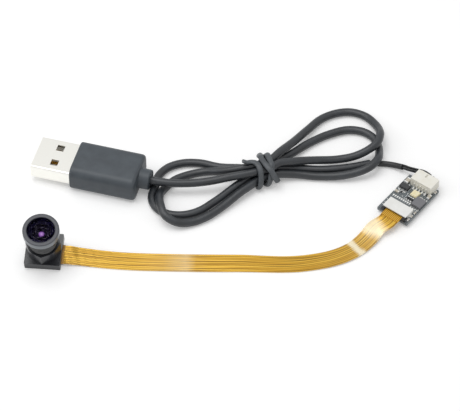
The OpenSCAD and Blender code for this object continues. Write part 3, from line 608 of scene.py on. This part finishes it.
def in_lens_frame(tree):
    """Object coordinates in metres from the foot of the lens axis, with Z along it."""
    return in_frame(tree, lens_middle, (head_lean, 0, head_turn))


def lathe_marks(made, per_mm, height):
    """Fine rings that the lathe leaves round the lens axis."""
    tree = made.node_tree
    rings = tree.nodes.new("ShaderNodeTexWave")
    rings.wave_type = "RINGS"
    rings.rings_direction = "Z"
    rings.inputs["Scale"].default_value = per_mm / MM / 3
    rings.inputs["Distortion"].default_value = 1.5
    rings.inputs["Detail"].default_value = 2
    bump = tree.nodes.new("ShaderNodeBump")
    bump.inputs["Distance"].default_value = height * MM
    tree.links.new(in_lens_frame(tree), rings.inputs["Vector"])
    tree.links.new(rings.outputs["Fac"], bump.inputs["Height"])
    tree.links.new(bump.outputs["Normal"], tree.nodes["Principled BSDF"].inputs["Normal"])
    return made


# One anodised finish in three tones: painted shade on the neck and thread, a painted lighter band on the
# flange's side where it catches the light, and the finish's own middle grey on the front face; the bore
# is near-black
barrel_finishes = [
    lathe_marks(finish_of("anodised_neck", "17191c", 0.26, specular_ior_level=0.8), 8, 0.004),
    lathe_marks(finish_of("anodised_rim", "73797f", 0.3, specular_ior_level=0.8), 8, 0.004),
    lathe_marks(finish_of("anodised_face", "3f4148", 0.4, specular_ior_level=0.6), 8, 0.004),
    finish_of("anodised_bore", "100e24", 0.7, specular_ior_level=0.05)]
for finish in barrel_finishes:
    barrel.data.materials.append(finish)
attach(barrel, "module")
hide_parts("lens_barrel")


# ---- Glass and stops ----
# The front glass is coated against reflections and looks nearly black. Behind the conical stop ring,
# whose opening has a painted light rim, the middle element's violet coating has a painted highlight at
# its centre, inside a small dark iris.
glass_rim = 0.9
glass_dome = 0.45
dome_r = ((glass_d / 2) ** 2 + glass_dome**2) / (2 * glass_dome)
glass_section = [(glass_d / 2 - 0.02, glass_seat + 0.005, 0),
                 (glass_d / 2 - 0.02, glass_seat + glass_rim, 0)]
for k in range(1, 20):
    r = glass_d / 2 * (1 - k / 20)
    height = glass_seat + glass_rim + glass_dome - dome_r + math.sqrt(dome_r**2 - r**2)
    glass_section.append((r, height, 0))
front_dome = lathed("front_glass", [glass_section] * 96, False)
front_dome.data.materials.append(finish_of("coated_front_glass", "dcd6ea", 0.02, transmission_weight=1.0,
                                           ior=1.08))
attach(front_dome, "module")
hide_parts("front_lens")


def stepped(tree, operation, first, second, third=None):
    """One arithmetic step. Each input is a socket or a number."""
    step = tree.nodes.new("ShaderNodeMath")
    step.operation = operation
    for socket, value in zip(step.inputs, (first, second, third)):
        if isinstance(value, bpy.types.NodeSocket):
            tree.links.new(value, socket)
        elif value is not None:
            socket.default_value = value
    return step.outputs[0]


def banded(tree, value, stops):
    """A colour ramp over a value: pairs of place and colour."""
    ramp = tree.nodes.new("ShaderNodeValToRGB")
    elements = ramp.color_ramp.elements
    elements[0].position, elements[0].color = stops[0][0], linear(stops[0][1])
    elements[1].position, elements[1].color = stops[-1][0], linear(stops[-1][1])
    for place, colour in stops[1:-1]:
        elements.new(place).color = linear(colour)
    tree.links.new(value, ramp.inputs["Fac"])
    return ramp.outputs["Color"]


def by_radius(made, bands):
    """Colours by distance from the lens axis: pairs of radius in millimetres and colour."""
    tree = made.node_tree
    parts = tree.nodes.new("ShaderNodeSeparateXYZ")
    flat = tree.nodes.new("ShaderNodeCombineXYZ")
    span = tree.nodes.new("ShaderNodeVectorMath")
    span.operation = "LENGTH"
    tree.links.new(in_lens_frame(tree), parts.inputs[0])
    tree.links.new(parts.outputs["X"], flat.inputs["X"])
    tree.links.new(parts.outputs["Y"], flat.inputs["Y"])
    tree.links.new(flat.outputs[0], span.inputs[0])
    reach = 4
    share = stepped(tree, "MULTIPLY", span.outputs["Value"], 1 / (reach * MM))
    tree.links.new(banded(tree, share, [(radius / reach, colour) for radius, colour in bands]),
                   tree.nodes["Principled BSDF"].inputs["Base Color"])
    return made


stop_d = 3.8
stop_t = 1.2
stop_low = glass_seat - stop_t
stop_section = [(stop_d / 2, stop_low, 0), (stack_d / 2 - 0.01, stop_low, 0),
                (stack_d / 2 - 0.01, glass_seat - 0.005, 0),
                (stop_d / 2 + stop_t / 2, glass_seat - 0.005, 0)]
# The stop's black takes a painted light grey rim at the edge of its opening and a painted blue-violet
# reflection tint further out; the lens spacer is given the same
stop_black = by_radius(finish_of("stop_black", "2a2930", 0.7, specular_ior_level=0.05),
                       [(1.9, "55525f"), (2.05, "3a3744"), (2.2, "14121c"), (3, "110f22"), (4, "110f22")])
front_stop = lathed("conical_stop", [stop_section] * 96, True)
front_stop.data.materials.append(stop_black)
middle_t = 1.6
middle_dome_r = ((stack_d / 2) ** 2 + glass_dome**2) / (2 * glass_dome)
middle_section = [(stack_d / 2 - 0.02, stop_low - middle_t, 0),
                  (stack_d / 2 - 0.02, stop_low - glass_dome, 0)]
for k in range(1, 20):
    r = stack_d / 2 * (1 - k / 20)
    middle_section.append((r, stop_low - middle_dome_r + math.sqrt(middle_dome_r**2 - r**2), 0))
middle_glass = lathed("middle_glass", [middle_section] * 96, False)
# The middle glass's colours by radius are a painted highlight: pale pink at the centre, fading through
# violet to dark, with a faint painted lighter ring at 1.6 mm
middle_glass.data.materials.append(by_radius(
    finish_of("violet_glass", "4a2a66", 0.6, specular_ior_level=0.05),
    [(0, "ffe6fa"), (0.25, "e6b0e6"), (0.7, "9464ac"), (0.9, "171222"), (1.55, "120f18"),
     (1.6, "2a2733"), (1.8, "16131d"), (3, "100e16")]))
for piece, node, slot_name in ((front_stop, "stop_ring", "black_plastic"),
                               (middle_glass, "middle_lens", "coated_glass")):
    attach(piece, "module")
    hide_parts(node)
dress(["lens_spacer"], stop_black)
dress(["rear_lens"], finish_of("rear_glass", "c8d0dc", 0.03, transmission_weight=1.0, ior=1.5))
dress(["ir_filter"], finish_of("filter_glass", "d08a96", 0.03, transmission_weight=1.0, ior=1.5))


# ---- Lens holder and sensor ----
# A moulded black holder: a square base and a round tower with four corner ribs. It is glued to
# the flex circuit's head, over the sensor, with a steel stiffener plate below.
holder_black = grain(finish_of("holder_black", "202227", 0.32, specular_ior_level=0.65), 4, 0.01)
mottle(holder_black, "1d1f24", "26282d", 0.5, (0.24, 0.38))
dress(["lens_holder"], holder_black)
dress(["image_sensor"], grain(finish_of("sensor_lid", "2b3540", 0.2), 6, 0.002))
stiffener_steel = brushed(finish_of("stiffener_steel", "8f8a88", 0.36, metallic=0.85),
                          head_turn, 4, 0.004)
dress(["head_stiffener"], stiffener_steel)


# ---- Flex circuit ----
# Amber polyimide film over copper tracks that run its whole length. It lies on the table, a
# little wavy where it leaves the head, and rises to the connector on the board.
neck_reach = 0.6
ribbon_y = 4.8
tab_z = 0.4
flex_t = 0.18
flex_w = 5.8
flex_tail_w = 5.6
zif_mid = 5.4
zif_front = 0.75
flex_z = 2.1
film_out = 2.4
ribbon_run = [
    (-43.5, -11.7, 0.9, 8), (-39, -12.2, 0.6, 6), (-34, -12.8, 0.5, 5), (-28, -13.3, 0.5, 5),
    (-20, -13.6, 0.5, 5), (-12, -13.8, 0.5, 5), (-4, -13.9, 0.5, 5), (3, -13.9, 0.45, 4),
    (8, -14, 0.3, 2), (13, -14.1, 0.25, 0), (18, -13.9, 0.25, 0), (23, -13.1, 0.25, -1),
    (27, -12.1, 0.3, -2), (30.5, -10.7, 0.35, -3), (33.4, -9, 0.4, -3), (36, -6.8, 0.5, -2),
    (38.3, -4.2, 0.8, -1), (40.2, -1.6, 1.3, 0)]


def tail_point(y):
    return board_point(zif_mid, zif_front + y, flex_z)


ribbon_route = ([head_matrix @ Vector((base_w / 2 + neck_reach - 0.3, ribbon_y, tab_z)),
                 head_matrix @ Vector((base_w / 2 + neck_reach + 1, ribbon_y, tab_z))]
                + [Vector(p[:3]) for p in ribbon_run]
                + [tail_point(y) for y in (-film_out - 1, -film_out, 0, 2.6)])
ribbon_tilts = [head_lean, head_lean] + [p[3] for p in ribbon_run] + [0] * 4
ribbon_steps = 10
ribbon_line = smooth_path(ribbon_route, ribbon_steps)
strip_sides = 12


def tilt_at(i):
    k, part = divmod(i, ribbon_steps)
    after = ribbon_tilts[min(k + 1, len(ribbon_tilts) - 1)]
    return ribbon_tilts[k] + (after - ribbon_tilts[k]) * part / ribbon_steps


ribbon_vertices, ribbon_faces, ribbon_uv = [], [], []
travelled = 0
for i, centre in enumerate(ribbon_line):
    last = len(ribbon_line) - 1
    ahead = (ribbon_line[min(i + 1, last)] - ribbon_line[max(i - 1, 0)]).normalized()
    level = Vector((-ahead.y, ahead.x, 0)).normalized()
    tilt = math.radians(tilt_at(i))
    across = math.cos(tilt) * level + math.sin(tilt) * ahead.cross(level)
    out = ahead.cross(across)
    if i:
        travelled += (centre - ribbon_line[i - 1]).length
    narrowing = min(1, max(0, (i - last + 4 * ribbon_steps) / ribbon_steps))
    width = flex_w + (flex_tail_w - flex_w) * narrowing
    wave = 0.07 * math.exp(-travelled / 12) * math.sin(travelled * 1.9)
    for face in (-1, 1):
        for k in range(strip_sides + 1):
            u = k / strip_sides - 0.5
            rise = wave * math.cos(u * 5 + travelled * 0.6)
            ribbon_vertices.append((centre + across * width * u
                                    + out * (face * flex_t / 2 + rise)) * MM)
            ribbon_uv.append((u * width, travelled))
row = 2 * (strip_sides + 1)
loop = list(range(strip_sides + 1)) + list(range(2 * strip_sides + 1, strip_sides, -1))
for i in range(len(ribbon_line) - 1):
    for k, a in enumerate(loop):
        b = loop[(k + 1) % len(loop)]
        ribbon_faces.append((i * row + a, (i + 1) * row + a, (i + 1) * row + b, i * row + b))
ribbon_faces.append(tuple(loop))
ribbon_faces.append(tuple(reversed([(len(ribbon_line) - 1) * row + a for a in loop])))
ribbon_mesh = bpy.data.meshes.new("flex_ribbon")
ribbon_mesh.from_pydata(ribbon_vertices, [], ribbon_faces)
ribbon_map = ribbon_mesh.uv_layers.new(name="ribbon")
for corner in ribbon_mesh.loops:
    ribbon_map.data[corner.index].uv = ribbon_uv[corner.vertex_index]
ribbon_mesh.shade_smooth()
ribbon_mesh.set_sharp_from_angle(angle=math.radians(40))
ribbon = bpy.data.objects.new("flex_ribbon", ribbon_mesh)
bpy.context.scene.collection.objects.link(ribbon)


# Painted highlights where the film would shine along its length, in shares of 100 mm: a broad painted
# sheen, a painted glare across a crease that the ribbon's shape does not have, and painted glare on the
# bend up to the board
painted_film_sheen = [(0, "101010"), (0.2, "1c1c1c"), (0.28, "484848"), (0.345, "8a8a8a"), (0.375, "2c2c2c"),
              (0.41, "040404"), (0.68, "080808"), (0.8, "2a2a2a"), (0.822, "3a3a3a"), (0.83, "f8f8f8"),
              (0.842, "f0f0f0"), (0.85, "444444"), (0.885, "5c5c5c"), (0.91, "e4e4e4"),
              (0.935, "d0d0d0"), (0.955, "202020"), (1, "080808")]


def copper_tracks(made, dark, middle, light, painted_sheen):
    """Tracks under the film run along the ribbon's UV, unevenly, and wander near the head, under a
    painted sheen mixed in along the length.
    """
    tree = made.node_tree
    place = tree.nodes.new("ShaderNodeUVMap")
    place.uv_map = "ribbon"
    parts = tree.nodes.new("ShaderNodeSeparateXYZ")
    tree.links.new(place.outputs["UV"], parts.inputs[0])
    across, along = parts.outputs["X"], parts.outputs["Y"]
    wander = tree.nodes.new("ShaderNodeTexNoise")
    wander.inputs["Scale"].default_value = 0.5
    tree.links.new(place.outputs["UV"], wander.inputs["Vector"])
    centred = stepped(tree, "SUBTRACT", wander.outputs["Fac"], 0.5)
    reach = tree.nodes.new("ShaderNodeMapRange")
    reach.inputs["From Max"].default_value = 22
    reach.inputs["To Min"].default_value = 1.1
    reach.inputs["To Max"].default_value = 0.12
    tree.links.new(along, reach.inputs["Value"])
    shifted = stepped(tree, "MULTIPLY_ADD", centred, reach.outputs["Result"], across)
    lines = tree.nodes.new("ShaderNodeCombineXYZ")
    tree.links.new(stepped(tree, "MULTIPLY", shifted, 2.1), lines.inputs["X"])
    tree.links.new(stepped(tree, "MULTIPLY", along, 0.035), lines.inputs["Y"])
    uneven = tree.nodes.new("ShaderNodeTexNoise")
    uneven.inputs["Scale"].default_value = 1
    uneven.inputs["Detail"].default_value = 2
    tree.links.new(lines.outputs[0], uneven.inputs["Vector"])
    track_pitch = 0.62
    sine = stepped(tree, "SINE", stepped(tree, "MULTIPLY", shifted, 2 * math.pi / track_pitch), None)
    tone = stepped(tree, "MULTIPLY_ADD", sine, 0.09, uneven.outputs["Fac"])
    copper = banded(tree, tone, [(0.33, dark), (0.5, middle), (0.64, light)])
    # Painted sheen: a pale colour mixed over the tracks by place along the ribbon, standing in for light
    # on the film
    ripple = stepped(tree, "MULTIPLY_ADD", centred, 1.5, along)
    shine = banded(tree, stepped(tree, "DIVIDE", ripple, 100), painted_film_sheen)
    blend = tree.nodes.new("ShaderNodeMix")
    blend.data_type = "RGBA"
    blend.inputs["B"].default_value = linear(painted_sheen)
    tree.links.new(shine, blend.inputs["Factor"])
    tree.links.new(copper, blend.inputs["A"])
    shader = tree.nodes["Principled BSDF"]
    tree.links.new(blend.outputs["Result"], shader.inputs["Base Color"])
    bump = tree.nodes.new("ShaderNodeBump")
    bump.inputs["Distance"].default_value = 0.02 * MM
    tree.links.new(tone, bump.inputs["Height"])
    tree.links.new(bump.outputs["Normal"], shader.inputs["Normal"])
    return made


polyimide = copper_tracks(finish_of("amber_film", "c88f25", 0.38, metallic=0.4),
                          "8a6615", "cc9a26", "e6bb44", "fdf2d4")
ribbon_mesh.materials.append(polyimide)
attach(ribbon, "module")
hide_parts("flex_circuit")

# The flex circuit's head, between the holder and the stiffener, is a flat plate with a neck.
tab_half = (base_w - 2) / 2
tab_plan = [(-tab_half, 1.3), (tab_half, 1.3), (tab_half, 1.8), (base_w / 2 + neck_reach, 1.8),
            (base_w / 2 + neck_reach, 7.8), (tab_half, 7.8), (tab_half, 9.3), (-tab_half, 9.3)]
tab_low = 0.3
tab_high = 0.5
tab_vertices = [head_matrix @ Vector((x, y, z)) * MM for z in (tab_low, tab_high) for x, y in tab_plan]
tab_count = len(tab_plan)
tab_faces = [tuple(reversed(range(tab_count))), tuple(range(tab_count, 2 * tab_count))]
for k in range(tab_count):
    j = (k + 1) % tab_count
    tab_faces.append((k, j, j + tab_count, k + tab_count))
tab_mesh = bpy.data.meshes.new("flex_head")
tab_mesh.from_pydata(tab_vertices, [], tab_faces)
flex_head = bpy.data.objects.new("flex_head", tab_mesh)
bpy.context.scene.collection.objects.link(flex_head)
plain_film = grain(finish_of("plain_film", "b9831f", 0.38), 2, 0.004)
mottle(plain_film, "a97618", "c48f2c", 0.4)
tab_mesh.materials.append(plain_film)
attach(flex_head, "module")


def in_board_frame(tree):
    """Object coordinates in metres from the board's front left corner, with X along its front."""
    return in_frame(tree, board_at * MM, (0, 0, board_turn))


stiff_film = finish_of("stiff_film", "d8961c", 0.38, metallic=0.3)
tail_tree = stiff_film.node_tree
tail_parts = tail_tree.nodes.new("ShaderNodeSeparateXYZ")
tail_tree.links.new(in_board_frame(tail_tree), tail_parts.inputs[0])
contact_pitch = 0.5
contact_wave = stepped(tail_tree, "SINE", stepped(tail_tree, "MULTIPLY", tail_parts.outputs["X"],
                                                  2 * math.pi / (contact_pitch * MM)), None)
contact_tone = stepped(tail_tree, "MULTIPLY_ADD", contact_wave, 0.5, 0.5)
tail_tree.links.new(banded(tail_tree, contact_tone, [(0.08, "8f6416"), (0.4, "cf981f"), (1, "e9b840")]),
                    tail_tree.nodes["Principled BSDF"].inputs["Base Color"])
dress(["tail_film"], stiff_film)


# ---- Driver board ----
# Fibreglass under dark grey-green solder mask, with tracks that show through the mask, and
# tinned pads where the parts are soldered on.
board_mask = finish_of("board_mask", "4a5358", 0.38, coat_weight=0.3, coat_roughness=0.2)


def tracks_under_mask(made, mask, track):
    """Straight tracks and copper areas that show faintly through the mask, in the board's frame."""
    tree = made.node_tree
    lay = in_board_frame(tree)
    cells = tree.nodes.new("ShaderNodeTexVoronoi")
    cells.distance = "MANHATTAN"
    cells.feature = "F1"
    cells.inputs["Scale"].default_value = 0.55 / MM
    lines = tree.nodes.new("ShaderNodeTexWave")
    lines.inputs["Scale"].default_value = 0.5 / MM
    lines.inputs["Distortion"].default_value = 3
    lines.inputs["Detail"].default_value = 1
    lines.inputs["Detail Scale"].default_value = 0.6
    tree.links.new(lay, cells.inputs["Vector"])
    tree.links.new(lay, lines.inputs["Vector"])
    both = tree.nodes.new("ShaderNodeMath")
    both.operation = "MULTIPLY"
    tree.links.new(cells.outputs["Distance"], both.inputs[0])
    tree.links.new(lines.outputs["Fac"], both.inputs[1])
    ramp = tree.nodes.new("ShaderNodeValToRGB")
    ramp.color_ramp.elements[0].position = 0.16
    ramp.color_ramp.elements[0].color = linear(mask)
    ramp.color_ramp.elements[1].position = 0.24
    ramp.color_ramp.elements[1].color = linear(track)
    tree.links.new(both.outputs[0], ramp.inputs["Fac"])
    shader = tree.nodes["Principled BSDF"]
    tree.links.new(ramp.outputs["Color"], shader.inputs["Base Color"])
    bump = tree.nodes.new("ShaderNodeBump")
    bump.inputs["Distance"].default_value = 0.01 * MM
    tree.links.new(ramp.outputs["Color"], bump.inputs["Height"])
    tree.links.new(bump.outputs["Normal"], shader.inputs["Normal"])
    return made


tracks_under_mask(board_mask, "4b5052", "6c7376")
dress(["driver_board"], board_mask)


def pad_tree():
    """Geometry nodes that set one flat, round-cornered pad at each point of a mesh."""
    tree = bpy.data.node_groups.new("pads_on_points", "GeometryNodeTree")
    side = tree.interface
    side.new_socket("Geometry", in_out="INPUT", socket_type="NodeSocketGeometry")
    for name in ("Length", "Width", "Height", "Turn"):
        side.new_socket(name, in_out="INPUT", socket_type="NodeSocketFloat")
    side.new_socket("Metal", in_out="INPUT", socket_type="NodeSocketMaterial")
    side.new_socket("Geometry", in_out="OUTPUT", socket_type="NodeSocketGeometry")
    inputs = tree.nodes.new("NodeGroupInput")
    outputs = tree.nodes.new("NodeGroupOutput")
    plan = tree.nodes.new("GeometryNodeCurvePrimitiveQuadrilateral")
    corner = tree.nodes.new("GeometryNodeFilletCurve")
    corner.mode = "POLY"
    corner.inputs["Count"].default_value = 3
    share = tree.nodes.new("ShaderNodeMath")
    share.operation = "MULTIPLY"
    share.inputs[1].default_value = 0.3
    fill = tree.nodes.new("GeometryNodeFillCurve")
    raised = tree.nodes.new("GeometryNodeExtrudeMesh")
    spin = tree.nodes.new("ShaderNodeCombineXYZ")
    on_points = tree.nodes.new("GeometryNodeInstanceOnPoints")
    real = tree.nodes.new("GeometryNodeRealizeInstances")
    metal = tree.nodes.new("GeometryNodeSetMaterial")
    link = tree.links.new
    link(inputs.outputs["Length"], plan.inputs["Height"])
    link(inputs.outputs["Width"], plan.inputs["Width"])
    link(inputs.outputs["Width"], share.inputs[0])
    link(share.outputs[0], corner.inputs["Radius"])
    link(plan.outputs["Curve"], corner.inputs["Curve"])
    link(corner.outputs["Curve"], fill.inputs["Curve"])
    link(fill.outputs["Mesh"], raised.inputs["Mesh"])
    link(inputs.outputs["Height"], raised.inputs["Offset Scale"])
    raised.inputs["Individual"].default_value = False
    link(inputs.outputs["Turn"], spin.inputs["Z"])
    link(inputs.outputs["Geometry"], on_points.inputs["Points"])
    link(raised.outputs["Mesh"], on_points.inputs["Instance"])
    link(spin.outputs[0], on_points.inputs["Rotation"])
    link(on_points.outputs["Instances"], real.inputs["Geometry"])
    link(real.outputs["Geometry"], metal.inputs["Geometry"])
    link(inputs.outputs["Metal"], metal.inputs["Material"])
    link(metal.outputs["Geometry"], outputs.inputs["Geometry"])
    return tree


pads_on_points = pad_tree()
tin = grain(finish_of("tin_plating", "ebebe8", 0.45, metallic=0.5), 5, 0.01)
silk = finish_of("silk_screen", "c9cfd2", 0.6)


def pads(name, places, length, width, turn, metal):
    """One row or group of like pads on the board: places are (x, y) on the board."""
    points = bpy.data.meshes.new(name + "_places")
    points.from_pydata([board_point(x, y, board_top) * MM for x, y in places], [], [])
    carrier = bpy.data.objects.new(name + "_places", points)
    bpy.context.scene.collection.objects.link(carrier)
    maker = carrier.modifiers.new("pads", "NODES")
    maker.node_group = pads_on_points
    values = {"Length": length * MM, "Width": width * MM, "Height": 0.035 * MM,
              "Turn": math.radians(board_turn + turn), "Metal": metal}
    for socket in pads_on_points.interface.items_tree:
        if socket.item_type == "SOCKET" and socket.name in values:
            maker[socket.identifier] = values[socket.name]
    bpy.context.view_layer.update()
    seen = carrier.evaluated_get(bpy.context.evaluated_depsgraph_get())
    made = bpy.data.objects.new(name, bpy.data.meshes.new_from_object(seen))
    bpy.data.objects.remove(carrier)
    bpy.context.scene.collection.objects.link(made)
    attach(made, "module")
    return made


flash_at = (8.65, 8.2)
regulator_at = (1.9, 11)
header_x = 5.9
header_y = 12.9
pads("flash_pads", [(flash_at[0] + (k - 1.5) * 0.75, flash_at[1] + side * 2.05)
                    for k in range(4) for side in (-1, 1)], 1.0, 0.42, 0, tin)
pads("regulator_pads", [(regulator_at[0] + (k - 1) * 0.95, regulator_at[1] - 1.2) for k in range(3)]
     + [(regulator_at[0] + (k - 0.5) * 0.95, regulator_at[1] + 1.2) for k in range(2)],
     1.0, 0.56, 0, tin)
pads("header_pads", [(header_x + k - 2, header_y - 0.55) for k in range(5)], 0.95, 0.5, 0, tin)
pads("row_pads", [(0.95 + 0.7 * k, 6.85) for k in range(9)], 0.62, 0.46, 0, tin)
pads("silk_bars", [(0.95 + 0.7 * k, 6.35) for k in range(9)], 0.14, 0.5, 0, silk)
pads("silk_sides", [(6.95, 8.2), (0.35, 11), (3.5, 11), (7.4, 8.9), (4.1, 8.8), (9.1, 12.2)],
     1.5, 0.14, 0, silk)
via_places = [(0.5, 2.2), (0.5, 3.2), (0.45, 4.4), (4.1, 7.6), (3.2, 7.9), (3.9, 9.7),
              (3.9, 12.2), (0.4, 9.9),
              (4.4, 11.9), (7.9, 10.9), (7.4, 12.3), (6.9, 9.3), (10, 6.1), (1.1, 5.3)]
pads("vias", via_places, 0.26, 0.26, 0, tin)


# ---- Chip capacitors and resistors ----
# Small ceramic blocks with tinned ends, soldered to their pads. Resistors have a black face.
capacitor_list = [
    ((1.2, 13.4), 2, 1.25, 0.8, 90), ((9.65, 12), 1.6, 0.8, 0.7, 90),
    ((10.05, 14.6), 1, 0.5, 0.5, 90), ((1, 8.3), 1.6, 0.8, 0.6, 0),
    ((9.9, 1.4), 1, 0.5, 0.5, 90), ((9.9, 3), 1, 0.5, 0.5, 90), ((9.9, 4.6), 1, 0.5, 0.5, 90)]
resistor_list = [
    ((4.9, 8.1), 1.6, 0.5, 0.4, 90), ((5.65, 8.1), 1.6, 0.5, 0.4, 90),
    ((6.4, 8.1), 1.6, 0.5, 0.4, 90), ((2.2, 9.1), 1, 0.5, 0.35, 0),
    ((8.6, 12.4), 1, 0.5, 0.35, 0)]


def soft_block(vertices, faces, low, high, place, edge):
    """Adds a block with bevelled edges. place turns block coordinates into metres."""
    start = len(vertices)
    for axis in range(3):
        for a in (low, high):
            for b in (low, high):
                for c in (low, high):
                    corner = [a[0], b[1], c[2]]
                    for other in range(3):
                        if other != axis:
                            sign = 1 if corner[other] == low[other] else -1
                            corner[other] += sign * edge
                    vertices.append(place(*corner))
    index = {}
    for axis in range(3):
        for n in range(8):
            index[axis, n] = start + axis * 8 + n
    for axis, other, third in ((0, 1, 2), (1, 2, 0), (2, 0, 1)):
        weight = [4, 2, 1]
        for side in (0, 1):
            base = side * weight[axis]
            ring = [base, base + weight[other], base + weight[other] + weight[third],
                    base + weight[third]]
            quad = [index[axis, n] for n in ring]
            faces.append(tuple(quad if side else reversed(quad)))
        for j in (0, 1):
            for k in (0, 1):
                base = j * weight[other] + k * weight[third]
                quad = [index[other, base], index[other, base + weight[axis]],
                        index[third, base + weight[axis]], index[third, base]]
                faces.append(tuple(quad if j != k else reversed(quad)))
    for n in range(8):
        bits = (n >> 2 & 1) ^ (n >> 1 & 1) ^ (n & 1)
        tri = [index[0, n], index[1, n], index[2, n]]
        faces.append(tuple(tri if bits else reversed(tri)))


def chip_row(name, chips, body, cap, node):
    """All the like chip parts as one piece, with the body and the two caps of each."""
    vertices, faces, kinds = [], [], []
    for (x, y), length, width, height, turn in chips:
        def place(u, v, w, x=x, y=y, turn=turn):
            spot = turned((u, v, w), turn)
            return board_point(x + spot.x, y + spot.y, board_top + spot.z) * MM
        cap_l = max(0.22, length * 0.2)
        blocks = [((-length / 2 + cap_l * 0.8, -width / 2 + 0.02, 0.03),
                   (length / 2 - cap_l * 0.8, width / 2 - 0.02, height - 0.02), 0)]
        for end in (-1, 1):
            ends = sorted((end * length / 2, end * (length / 2 - cap_l)))
            blocks.append(((ends[0], -width / 2, 0), (ends[1], width / 2, height), 1))
        for low, high, kind in blocks:
            before = len(faces)
            soft_block(vertices, faces, low, high, place, 0.05)
            kinds += [kind] * (len(faces) - before)
    mesh = bpy.data.meshes.new(name)
    mesh.from_pydata(vertices, [], faces)
    mesh.materials.append(body)
    mesh.materials.append(cap)
    for face, kind in zip(mesh.polygons, kinds):
        face.material_index = kind
    made = bpy.data.objects.new(name, mesh)
    bpy.context.scene.collection.objects.link(made)
    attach(made, "module")
    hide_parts(node)
    return made


ceramic = mottle(grain(finish_of("pale_ceramic", "c4bdaf", 0.4), 5, 0.006), "bbb3a4", "cdc7ba", 1)
resistor_face = grain(finish_of("resistor_face", "2a2b2e", 0.4), 6, 0.006)
solder = grain(finish_of("bright_solder", "eeeeec", 0.36, metallic=0.8), 3, 0.02)
chip_row("chip_capacitors", capacitor_list, ceramic, solder, "capacitors")
chip_row("chip_resistors", resistor_list, resistor_face, solder, "resistors")
dress(["sensor_capacitors"], ceramic)


# ---- Larger chips ----
# Moulded epoxy packages with tinned gull-wing leads, a ceramic crystal, and the controller that
# is soldered under the board.
def epoxy_with_leads(name, body, half_l, middle):
    """Black epoxy inside the package's outline, and tinned metal outside it."""
    made = finish_of(name, body, 0.5)
    tree = made.node_tree
    parts = tree.nodes.new("ShaderNodeSeparateXYZ")
    lay = in_frame(tree, board_point(middle[0], middle[1], 0) * MM, (0, 0, board_turn))
    tree.links.new(lay, parts.inputs[0])
    reach = tree.nodes.new("ShaderNodeMath")
    reach.operation = "ABSOLUTE"
    outside = tree.nodes.new("ShaderNodeMath")
    outside.operation = "GREATER_THAN"
    outside.inputs[1].default_value = (half_l + 0.005) * MM
    tree.links.new(parts.outputs["Y"], reach.inputs[0])
    tree.links.new(reach.outputs[0], outside.inputs[0])
    colour = tree.nodes.new("ShaderNodeMix")
    colour.data_type = "RGBA"
    colour.inputs["A"].default_value = linear(body)
    colour.inputs["B"].default_value = linear("d4d4d2")
    shine = tree.nodes.new("ShaderNodeMapRange")
    shine.inputs["To Min"].default_value = 0.5
    shine.inputs["To Max"].default_value = 0.28
    shader = tree.nodes["Principled BSDF"]
    tree.links.new(outside.outputs[0], colour.inputs["Factor"])
    tree.links.new(outside.outputs[0], shine.inputs["Value"])
    tree.links.new(colour.outputs["Result"], shader.inputs["Base Color"])
    tree.links.new(shine.outputs["Result"], shader.inputs["Roughness"])
    tree.links.new(outside.outputs[0], shader.inputs["Metallic"])
    return grain(made, 5, 0.008)


dress(["flash_memory"], epoxy_with_leads("flash_epoxy", "77777b", 1.65, flash_at))
dress(["voltage_regulator"], epoxy_with_leads("regulator_epoxy", "3a3b3d", 0.8, regulator_at))
dress(["camera_controller"], grain(finish_of("controller_epoxy", "2a2b2d", 0.5), 5, 0.008))
crystal_cream = mottle(grain(finish_of("crystal_ceramic", "f3e8bf", 0.35), 3, 0.008),
                       "efe2b4", "f7efd0", 0.8)
dress(["crystal"], crystal_cream)


# ---- Flex connector ----
# A low white housing with a black slider. The slider's bar wedges the flex circuit's tail onto
# ten sprung contacts, and pulls forward by its two ears.
housing_white = mottle(grain(finish_of("housing_white", "f0f0ec", 0.42), 3, 0.008),
                       "ecece8", "f4f4f1", 0.4)
dress(["zif_housing"], housing_white)
slider_black = grain(finish_of("slider_black", "1a1a1b", 0.4), 4, 0.01)
dress(["zif_slider"], slider_black)
dress(["zif_hold_downs", "header_hold_downs", "header_pins", "cable_plug_crimps"], tin)


# ---- Cable header and its plug ----
# A white side-entry header with five pins, soldered along the board's rear edge. The cable's
# plug housing is pushed into it from behind.
header_white = mottle(grain(finish_of("header_white", "f1eee2", 0.42), 3, 0.008), "ebe7d8", "f5f3ea", 0.3)
dress(["header_housing", "cable_plug_housing"], header_white)


# ---- The cord and what is on it ----
# The cable is one cord from the sleeve to the plug. Here its length along its line is taken, in metres.
cable_length = sum((b - a).length for a, b in zip(cable_line, cable_line[1:])) * MM
